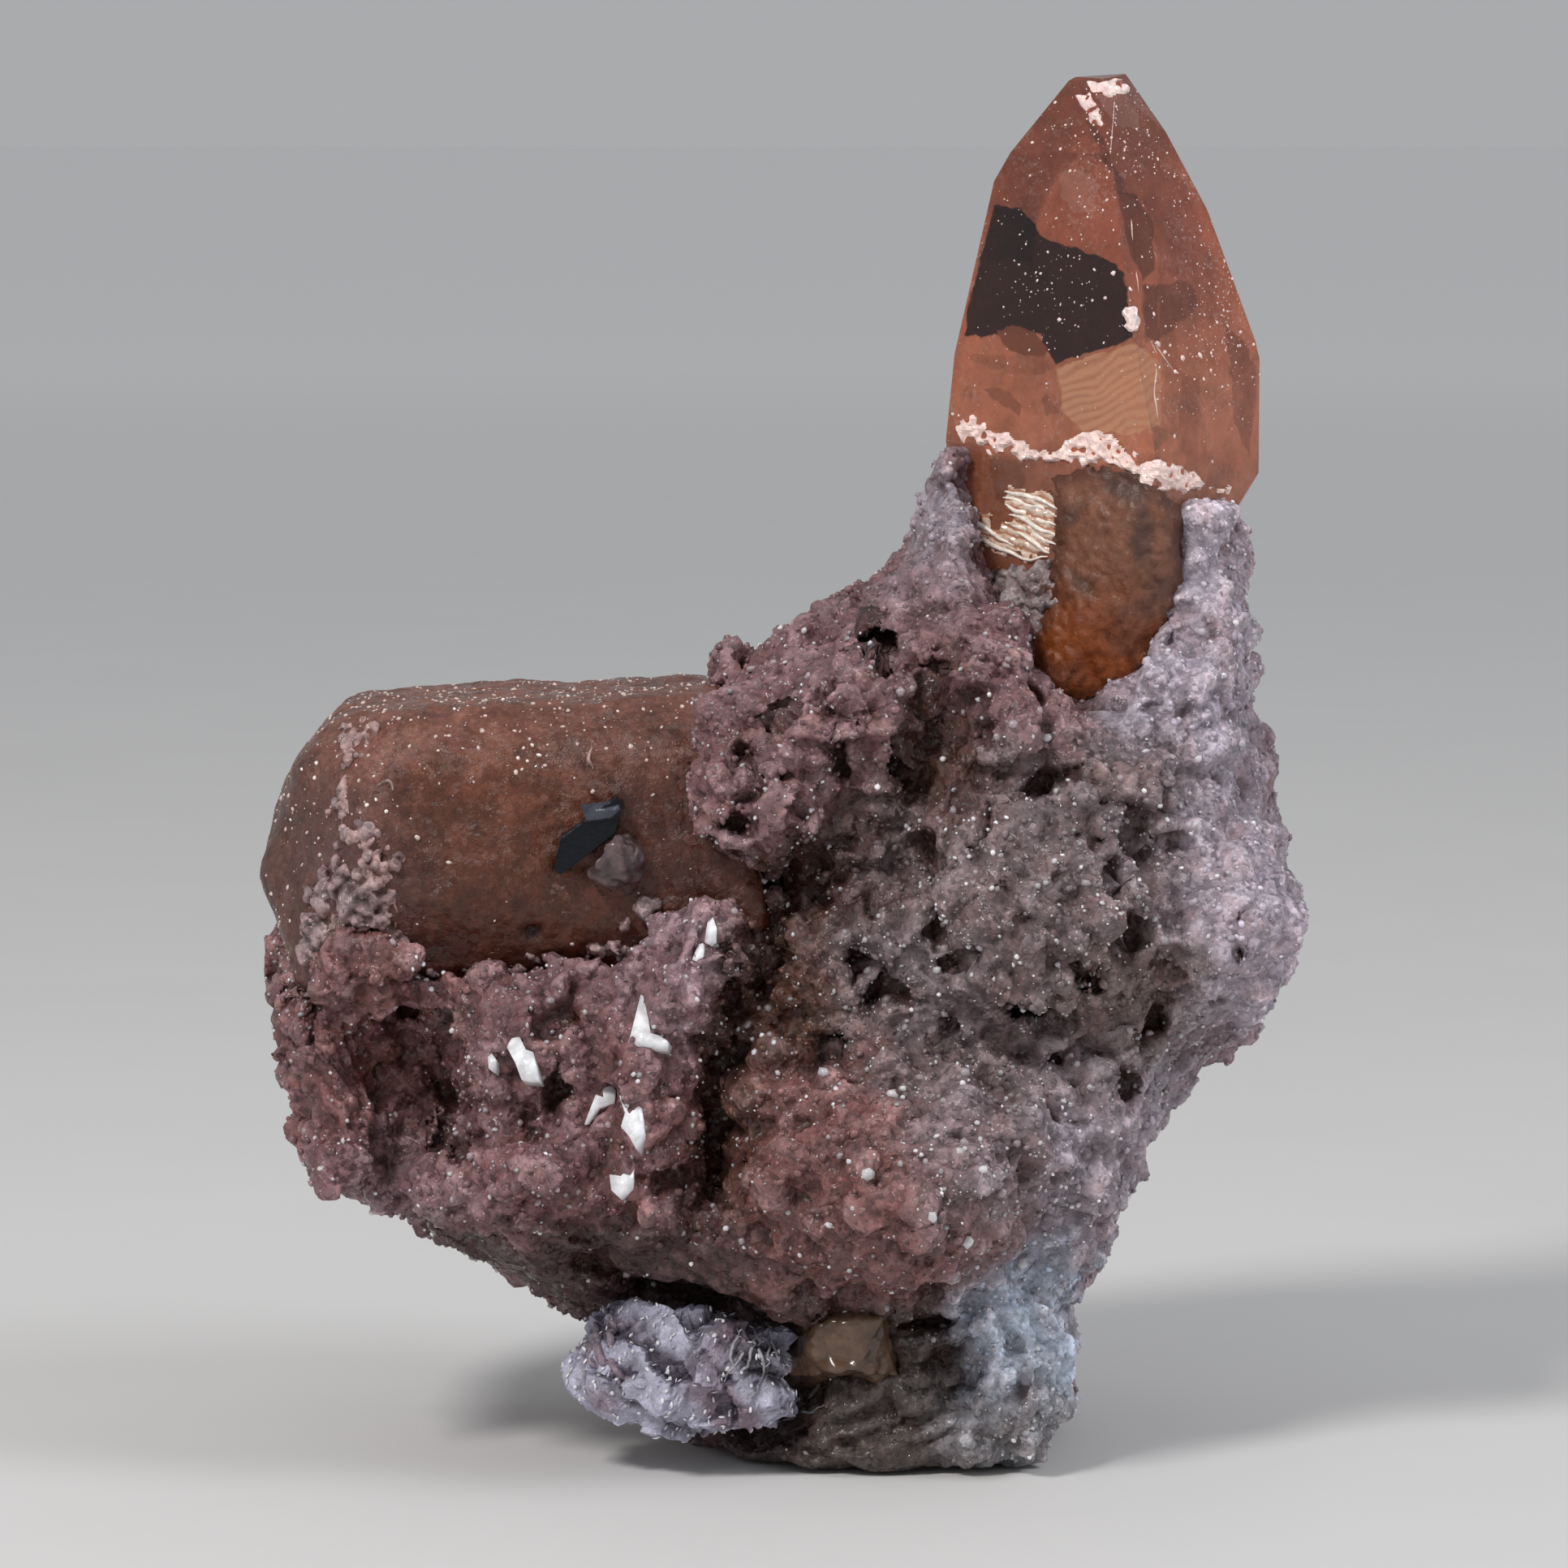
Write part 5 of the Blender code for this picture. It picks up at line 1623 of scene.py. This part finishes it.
def makeUprightMarks():
    luck = np.random.default_rng(11)
    find = findUpright
    size, height = uprightMarks["bandWaves"]
    band = sheetOn(find, "fractureBand", uprightMarks["band"], 2.4, 0.04, 7.0,
                   crumpled(size, height, 71.0), 1.0)
    bandGlass = glossyMaterial("fractureGlass", uprightMarks["bandTone"], 0.08, 0.4, 0.3)
    addPiece("fractureBand", band, bandGlass)
    # painted reflection: the golden flash and its bright strands
    size, height = uprightMarks["flashWaves"]
    flash = sheetOn(find, "goldenFlash", uprightMarks["flash"], 2.4, 0.05, 11.0,
                    crumpled(size, height, 72.0), 2.0)
    addPiece("goldenFlash", flash, flashMaterial())
    lineGlass = glossyMaterial("lineGlass", uprightMarks["lineTone"], 0.08, 0.3, 0.3)
    addStrands("flashLines", find, uprightMarks["flashLines"], uprightMarks["flashShape"], 74.0, lineGlass)
    # painted highlights: bright strands along the ridges and edges
    ridgeHighlight = glossyMaterial("ridgeHighlightGlass", uprightMarks["ridgeHighlightTone"], 0.08, 0.3, 0.3, 0.3)
    addStrands("ridgeHighlights", find, uprightMarks["lines"], uprightMarks["lineShape"], 75.0, ridgeHighlight)
    chipGlass = glossyMaterial("chippedGlass", uprightMarks["chipTone"], 0.05, 0.35, 0.25)
    for name, key in (("tipChip", "tip"), ("tipFlakes", "chips"), ("ridgeChip", "ridgeChip")):
        sheet = sheetOn(find, name, uprightMarks[key], 2.0, 0.03, 4.0, crumpled(0.3, 0.10, 73.0), 3.0)
        addPiece(name, sheet, chipGlass)
    points, faces = grainsAt(find, luck, uprightMarks["dots"], 0.4)
    addPiece("crystalDots", meshFrom("crystalDots", points, faces), chipGlass)

    hull = bpy.data.meshes.new("specks")
    upright.to_mesh(hull)
    points, triangles = pointsOf(hull), trianglesOf(hull)
    free = smoothStep(points[:, 2], 20.0, 21.0)
    places, normals = scatterOn(luck, points, triangles, free + 1e-9, 6 * uprightMarks["specks"])
    pixels = pixelsOf(places)
    crowd = np.full(len(places), 0.06)
    for spot in uprightMarks["speckClouds"]:
        crowd += softSpot(pixels, *spot) * 0.6
    crowd = np.where(normals[:, 1] < 0.2, crowd, 0.1)
    clear = (places[:, 2] > 33.5) & (luck.random(len(places)) < crowd)
    sizes = unevenSizes(luck, len(places), uprightMarks["speckSizes"], 3.0)
    places = places[clear] - normals[clear] * sizes[clear, None] * 0.4
    points, faces = grainCloud(luck, places, sizes[clear], (0.6, 1.5), ballForm(1))
    addPiece("crystalSpecks", meshFrom("crystalSpecks", points, faces), chipGlass)


makeUprightMarks()


# The etched root of the upright crystal, in the window of the rock

rootLook = {
    "outline": ((1292, 590), (1340, 572), (1418, 584), (1456, 628), (1462, 720), (1438, 800), (1396, 852),
                (1330, 872), (1270, 850), (1262, 800), (1290, 740), (1300, 660)),
    "proud": 0.4,
    "high": (0.25, 0.105, 0.062),
    # painted shade along its edge, where it sinks under the rock
    "low": (0.29, 0.074, 0.018),
    "rim": (0.09, 0.030, 0.016),
    "smoke": (0.12, 0.062, 0.046),
    "frostTones": ((0.19, 0.135, 0.125), (0.40, 0.33, 0.335)),
    "frost": ((1252, 712, 0.5), (1272, 724, 0.6), (1292, 738, 0.5), (1258, 744, 0.6), (1286, 714, 0.45),
              (1298, 728, 0.4), (1240, 728, 0.5), (1246, 754, 0.6), (1272, 764, 0.5), (1232, 712, 0.4),
              (1222, 736, 0.5), (1258, 784, 0.5), (1290, 700, 0.3), (1210, 722, 0.4)),
}


def makeEtchedRoot():
    find = findUpright

    def relief(places):
        far = edgeDistance(pixelsOf(places), rootLook["outline"])
        dome = np.sqrt(np.clip(far / 75.0, 0.0, 1.0))
        lumps = noiseAt(places, 1.1, 81.0) * 0.12 + billow(places, 0.5, 82.0) * 0.1
        return dome * rootLook["proud"] + lumps
    mesh = sheetOn(find, "etchedRoot", rootLook["outline"], 3.2, 0.02, 10.0, relief, 4.0)
    points = pointsOf(mesh)
    pixels = pixelsOf(points)
    low = smoothStep(pixels[:, 1], 690.0, 790.0)[:, None]
    edge = (1.0 - smoothStep(edgeDistance(pixels, rootLook["outline"]), 4.0, 26.0))[:, None]
    smoky = smoothStep(noiseAt(points, 1.6, 83.0), 0.0, 0.5)[:, None] * (1.0 - 0.6 * low)
    tint = blended(rootLook["high"], rootLook["low"], low)
    tint = blended(tint, rootLook["smoke"], smoky)
    # painted shade: darker towards its rim
    tint = tint * (1.0 - 0.7 * edge) + np.array(rootLook["rim"]) * 0.7 * edge
    paint(mesh, tint)
    shadeSmooth(mesh)
    material, tree, shader = newMaterial("frostedTopaz", IOR=1.62, Transmission_Weight=0.25,
                                         Specular_IOR_Level=0.18)
    place = millimetres(tree)
    mottle = mottled(tree, place, (0.5, 4.0, 0.7), 0.7, 1.35)
    tree.links.new(mixed(tree, 1.0, tintNode(tree).outputs["Color"], mottle, "MULTIPLY"),
                   shader.inputs["Base Color"])
    tree.links.new(mottled(tree, place, (0.3,), 0.22, 0.6), shader.inputs["Roughness"])
    height, _, _ = faceted(tree, place, 0.24)
    bumped(tree, shader, sums(tree, "ADD", height, noiseNode(tree, place, 0.2, 4.0, 0.65)), 0.7, 0.07)
    addPiece("etchedRoot", mesh, material)
    frost = crustMesh("rootFrost", find, rootLook["frost"], 0.09, 84.0, *rootLook["frostTones"])
    addPiece("rootFrost", frost, bpy.data.materials["sugaryRock"])


makeEtchedRoot()
print("upright crystal's marks ready")


# The dark crystal and the grey grain on the left topaz

darkLook = {
    "bevel": 0.04,
    "stretch": (1.2, 1.0, 0.86),
    "colour": (0.005, 0.006, 0.010),
    "gleam": 0.16,
    "facet": ((714, 992), (760, 986), (764, 996), (752, 1006), (722, 1010)),
    "facetTowards": (-0.15, -0.8, 0.55),
    "facetColour": (0.045, 0.050, 0.068),
}
greyLook = {
    "grid": 0.09,
    "billows": ((0.9, 0.22), (0.4, 0.1)),      # size and height
    "low": (0.040, 0.022, 0.022),
    "high": (0.115, 0.070, 0.075),
}


def lumpySolid(name, piece, grid, billows, seed):
    mesh = remeshed(meshOf(weldedCopy(name), piece), grid)
    mesh.name = piece
    points = pointsOf(mesh)
    points = relax(points, edgesOf(mesh), 2)
    normals = vertexNormals(points, trianglesOf(mesh))
    relief = sum(billow(points, size, seed + size) * height for size, height in billows)
    setPoints(mesh, points + normals * (relief - 0.03)[:, None])
    mesh.materials.clear()
    shadeSmooth(mesh)
    return mesh, relief


def makeSmallMinerals():
    mesh = bevelled(hullOf("dark_crystal"), "darkCrystal", darkLook["bevel"])
    points = pointsOf(mesh)
    middle = points.mean(axis=0)
    setPoints(mesh, middle + (points - middle) * np.array(darkLook["stretch"]))
    material = glossyMaterial("blueBlackMineral", darkLook["colour"], 0.12, 0.42, 0.35, 0.0, 0.06)
    material.node_tree.nodes["Principled BSDF"].inputs["Specular IOR Level"].default_value = darkLook["gleam"]
    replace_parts(addPiece("darkCrystal", mesh, material), "dark_crystal")
    find = finderOn(pointsOf(mesh), trianglesOf(mesh))
    plate = plateOn(find, darkLook["facet"], darkLook["facetTowards"], 0.02, 0.25)
    tone = glossyMaterial("blueGreyFacet", darkLook["facetColour"], 0.15, 0.45, 0.3, 0.0, 0.05)
    addPiece("darkCrystalTop", meshFrom("darkCrystalTop", *plate), tone)
    mesh, relief = lumpySolid("grey_grain", "greyGrain", greyLook["grid"], greyLook["billows"], 91.0)
    # painted shade: its creases darker, its lumps lighter
    light = smoothStep(relief, -0.1, 0.1)[:, None]
    paint(mesh, blended(greyLook["low"], greyLook["high"], light))
    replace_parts(addPiece("greyGrain", mesh, bpy.data.materials["sugarGrains"]), "grey_grain")


makeSmallMinerals()


# The silvery crust under the left shelf

silverLook = {
    "grid": 0.11,
    "fibreSize": 0.42,
    "fibreStretch": (1.0, 1.0, 0.38),
    "fibreHeight": 0.08,
    "facetSizes": ((1.5, 0.7), (0.6, 0.6)),
    "blades": 420,
    "bladeShape": (0.07, 0.03, 0.12),
    "bright": (0.80, 0.79, 0.98),
    "dim": (0.17, 0.145, 0.185),
    "rose": (0.42, 0.31, 0.38),
    "gloom": (0.050, 0.036, 0.042),
    "ribShape": (0.15, -0.03, 0.25),      # radius, how far proud, wander
    "ribTone": (0.44, 0.34, 0.40),
    "strandShape": (0.06, 0.04, 0.16),
    "strandTone": (0.62, 0.60, 0.66),
    # painted highlights: near-white blades stand in for glints
    "bladeTone": (0.97, 0.96, 1.0),
    # painted shadow under the shelf, and in the dark gap at its right
    "shadowSpots": ((904, 1610, 44, 26), (926, 1674, 24, 24), (790, 1590, 50, 10)),
    "ribs": tuple(((706 + 15 * i, 1596 + 3 * i), (702 + 16 * i, 1632 + 4 * i), (712 + 16 * i, 1664 + 6 * i),
                   (732 + 14 * i, 1690 + 9 * i)) for i in range(4)),
    "strands": (((944, 1622), (930, 1648), (918, 1680), (908, 1708)),
                ((948, 1630), (952, 1662), (966, 1694), (980, 1706)),
                ((934, 1650), (912, 1672), (896, 1704)), ((926, 1616), (936, 1660), (934, 1716)),
                ((952, 1640), (942, 1690), (922, 1730)), ((905, 1640), (900, 1672), (908, 1700)),
                ((925, 1745), (958, 1738), (990, 1726)), ((950, 1752), (985, 1744), (1022, 1730))),
}


def silverMaterial():
    material, tree, shader = newMaterial("silveryGlass", IOR=1.55, Transmission_Weight=0.4)
    place = millimetres(tree)
    mottle = mottled(tree, place, (0.6, 6.0, 0.75), 0.5, 1.4)
    tree.links.new(mixed(tree, 1.0, tintNode(tree).outputs["Color"], mottle, "MULTIPLY"),
                   shader.inputs["Base Color"])
    tree.links.new(mottled(tree, place, (0.4,), 0.04, 0.26), shader.inputs["Roughness"])
    facets, _, _ = faceted(tree, place, 0.2)
    bumped(tree, shader, sums(tree, "ADD", facets, noiseNode(tree, place, 0.12, 3.0, 0.6)), 0.8, 0.08)
    return material


def facetRelief(points, size, tilt, seed):
    # small flat facets, each tilted its own way
    shift = Vector((seed * 3.31, seed * 1.77, seed * 5.13))
    relief = np.empty(len(points))
    for index, p in enumerate(points.tolist()):
        spot = Vector(p) / size + shift
        _, centres = noise.voronoi(spot)
        lean = noise.cell_vector(centres[0] * 57.0) - Vector((0.5, 0.5, 0.5))
        relief[index] = (spot - centres[0]).dot(lean)
    return relief * size * tilt


def makeSilveryCrust():
    luck = np.random.default_rng(17)
    mesh = remeshed(meshOf(weldedCopy("silvery_crust"), "silveryCrust"), silverLook["grid"])
    mesh.name = "silveryCrust"
    points = relax(pointsOf(mesh), edgesOf(mesh), 3)
    triangles = trianglesOf(mesh)
    normals = vertexNormals(points, triangles)
    lean = points.copy()
    lean[:, 0] += 0.5 * points[:, 2] + noiseAt(points, 2.0, 101.0) * 0.8
    stretched = lean * np.array(silverLook["fibreStretch"])
    fibres = 0.5 - np.abs(noiseAt(stretched, silverLook["fibreSize"], 102.0))
    relief = fibres * silverLook["fibreHeight"] + billow(points, 1.2, 103.0) * 0.12
    for size, tilt in silverLook["facetSizes"]:
        relief += facetRelief(points, size, tilt, 107.0 + size)
    points = points + normals * (relief - 0.08)[:, None]
    setPoints(mesh, points)
    mesh.materials.clear()
    shadeSmooth(mesh, False)
    # painted light and shade: its crests bright, its creases dim
    light = smoothStep(relief, -0.22, 0.10)[:, None]
    rosy = smoothStep(noiseAt(points, 2.4, 104.0), 0.0, 0.6)[:, None]
    tint = blended(silverLook["dim"], blended(silverLook["bright"], silverLook["rose"], rosy), light)
    pixels = pixelsOf(points)
    # painted shadow
    for spot in silverLook["shadowSpots"]:
        share = (softSpot(pixels, *spot) * (normals[:, 1] < 0.3))[:, None]
        tint = blended(tint, silverLook["gloom"], share)
    paint(mesh, tint)
    material = silverMaterial()
    crust = addPiece("silveryCrust", mesh, material)

    find = finderOn(points, triangles)
    addStrands("crustRibs", find, silverLook["ribs"], silverLook["ribShape"], 105.0, material,
               silverLook["ribTone"])

    places, facing = scatterOn(luck, points, triangles, np.ones(len(points)), silverLook["blades"])
    places = places + facing * 0.05
    rising = np.array((0.3, 0.0, 1.0)) + luck.normal(0.0, 0.35, (len(places), 3))
    along = rising - facing * (rising * facing).sum(axis=1)[:, None] * 0.96
    along /= np.linalg.norm(along, axis=1)[:, None]
    wide = np.cross(along, facing)
    wide /= np.linalg.norm(wide, axis=1)[:, None]
    turns = np.stack([wide, np.cross(along, wide), along], axis=2)
    ball, sides = ballForm(1)
    blades, faces = grainCloud(luck, places, np.ones(len(places)), (0.6, 1.3),
                               (ball * silverLook["bladeShape"], sides), turns)
    mesh = meshFrom("crustBlades", blades, faces)
    tints = luck.uniform(0.7, 1.0, (len(places), 1)) * np.array(silverLook["bladeTone"])
    paint(mesh, np.repeat(tints, len(ball), axis=0))
    addPiece("crustBlades", mesh, bpy.data.materials["clearSparkles"])

    def findEither(across, down):
        place, normal = find(across, down)
        return (place, normal) if place is not None else findRock(across, down)
    addStrands("glassyStrands", findEither, silverLook["strands"], silverLook["strandShape"], 106.0,
               material,
               silverLook["strandTone"])
    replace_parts(crust, "silvery_crust")


makeSilveryCrust()


# The amber grain at the foot

footLook = {
    "grid": 0.10,
    "billows": ((1.6, 0.3), (0.6, 0.12)),      # size and height
    "low": (0.090, 0.050, 0.030),
    "high": (0.190, 0.112, 0.072),
    "ior": 1.6,
    "transmission": 0.5,
    "gleam": 0.35,
}


def makeFootTopaz():
    mesh, relief = lumpySolid("foot_topaz", "footTopaz", footLook["grid"], footLook["billows"], 111.0)
    points = pointsOf(mesh)
    high = smoothStep(points[:, 2], 1.6, 4.4)[:, None]
    tint = blended(footLook["low"], footLook["high"], high)
    # painted light: its raised lumps made up to 40 percent lighter
    paint(mesh, tint * (1.0 + smoothStep(relief, -0.05, 0.15)[:, None] * 0.4))
    material, tree, shader = newMaterial("amberTopaz", IOR=footLook["ior"],
                                         Transmission_Weight=footLook["transmission"],
                                         Specular_IOR_Level=footLook["gleam"])
    place = millimetres(tree)
    mottle = mottled(tree, place, (0.8, 4.0, 0.65), 0.6, 1.35)
    tree.links.new(mixed(tree, 1.0, tintNode(tree).outputs["Color"], mottle, "MULTIPLY"),
                   shader.inputs["Base Color"])
    tree.links.new(mottled(tree, place, (0.5,), 0.05, 0.28), shader.inputs["Roughness"])
    bumped(tree, shader, noiseNode(tree, place, 0.6, 4.0, 0.6), 0.4, 0.08)
    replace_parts(addPiece("footTopaz", mesh, material), "foot_topaz")


makeFootTopaz()


# Bright cleavage flakes on the column, turned to mirror the key light and also painted near white as painted
# highlights, and the rock's larger grains, some painted pale as glints

flakeLook = {
    "towards": (-0.223, -0.866, 0.447),     # turned halfway between the key light and the camera
    # painted highlight: near white, on top of the turn that mirrors the key light
    "colour": (0.93, 0.93, 0.96),
    "thick": 0.7,
    "proud": 0.10,
    "shapes": {
        "flakeHigh": ((868, 1160), (872, 1134), (878, 1130), (882, 1142), (880, 1158), (874, 1162)),
        "flakeNext": ((853, 1182), (860, 1164), (866, 1162), (865, 1176), (858, 1184)),
        "flakeTall": ((774, 1286), (791, 1220), (798, 1253), (800, 1272), (812, 1276), (822, 1282),
                      (819, 1291), (786, 1289)),
        "flakeLeft": ((720, 1385), (746, 1317), (758, 1343), (756, 1359), (737, 1364), (725, 1383)),
        "flakeMiddle": ((763, 1350), (786, 1348), (791, 1367), (793, 1395), (784, 1416), (775, 1400),
                        (765, 1388), (770, 1371)),
        "flakeLow": ((751, 1447), (765, 1449), (784, 1428), (777, 1461), (763, 1475), (753, 1466)),
        "flakeFar": ((619, 1282), (640, 1277), (647, 1293), (656, 1296), (664, 1331), (642, 1329),
                     (635, 1310), (626, 1293)),
        "flakeTiny": ((601, 1302), (606, 1298), (610, 1304), (608, 1318), (602, 1316)),
    },
}


def joined(parts):
    points = []
    faces = []
    count = 0
    for spots, sides in parts:
        points.append(spots)
        faces.append(sides + count)
        count += len(spots)
    return np.concatenate(points), np.concatenate(faces)


def makeFlakes():
    plates = [plateOn(findRock, outline, flakeLook["towards"], flakeLook["proud"], flakeLook["thick"])
              for outline in flakeLook["shapes"].values()]
    mesh = meshFrom("columnFlakes", *joined(plates))
    addPiece("columnFlakes", mesh, glossyMaterial("brightCleavage", flakeLook["colour"], 0.03, 0.12, 0.5))


glints = {
    # pale quartz grains together with grains painted pale where glints show: painted highlights
    "colour": (0.80, 0.78, 0.80),
    "white": ((1071, 1447, 0.24), (1150, 1501, 0.22), (1194, 1531, 0.26), (1211, 1441, 0.19),
              (1260, 1556, 0.28), (1182, 1418, 0.16), (1022, 1510, 0.20), (1213, 1441, 0.14),
              (788, 1648, 0.20), (1041, 1619, 0.14), (995, 1642, 0.10), (1003, 1636, 0.09),
              (1291, 911, 0.26), (1117, 1017, 0.14), (1155, 1195, 0.15), (1343, 1339, 0.14),
              (1015, 1321, 0.19), (1100, 1349, 0.22), (1112, 1342, 0.16), (1473, 1017, 0.14),
              (1520, 990, 0.16), (1439, 802, 0.18), (1476, 935, 0.13), (1411, 925, 0.15), (930, 1296, 0.12),
              (958, 1322, 0.10), (541, 1309, 0.13), (555, 1446, 0.12), (395, 1440, 0.14), (1206, 862, 0.12),
              (845, 1203, 0.09), (838, 1204, 0.08), (815, 1277, 0.10)),
}


def makeGlints():
    luck = np.random.default_rng(23)
    points, faces = grainsAt(findRock, luck, glints["white"], 0.2)
    mesh = meshFrom("brightGrains", points, faces)
    addPiece("brightGrains", mesh, glossyMaterial("quartzAndGlints", glints["colour"], 0.05, 0.35, 0.4, 0.2))


makeFlakes()
makeGlints()
print("small pieces ready")
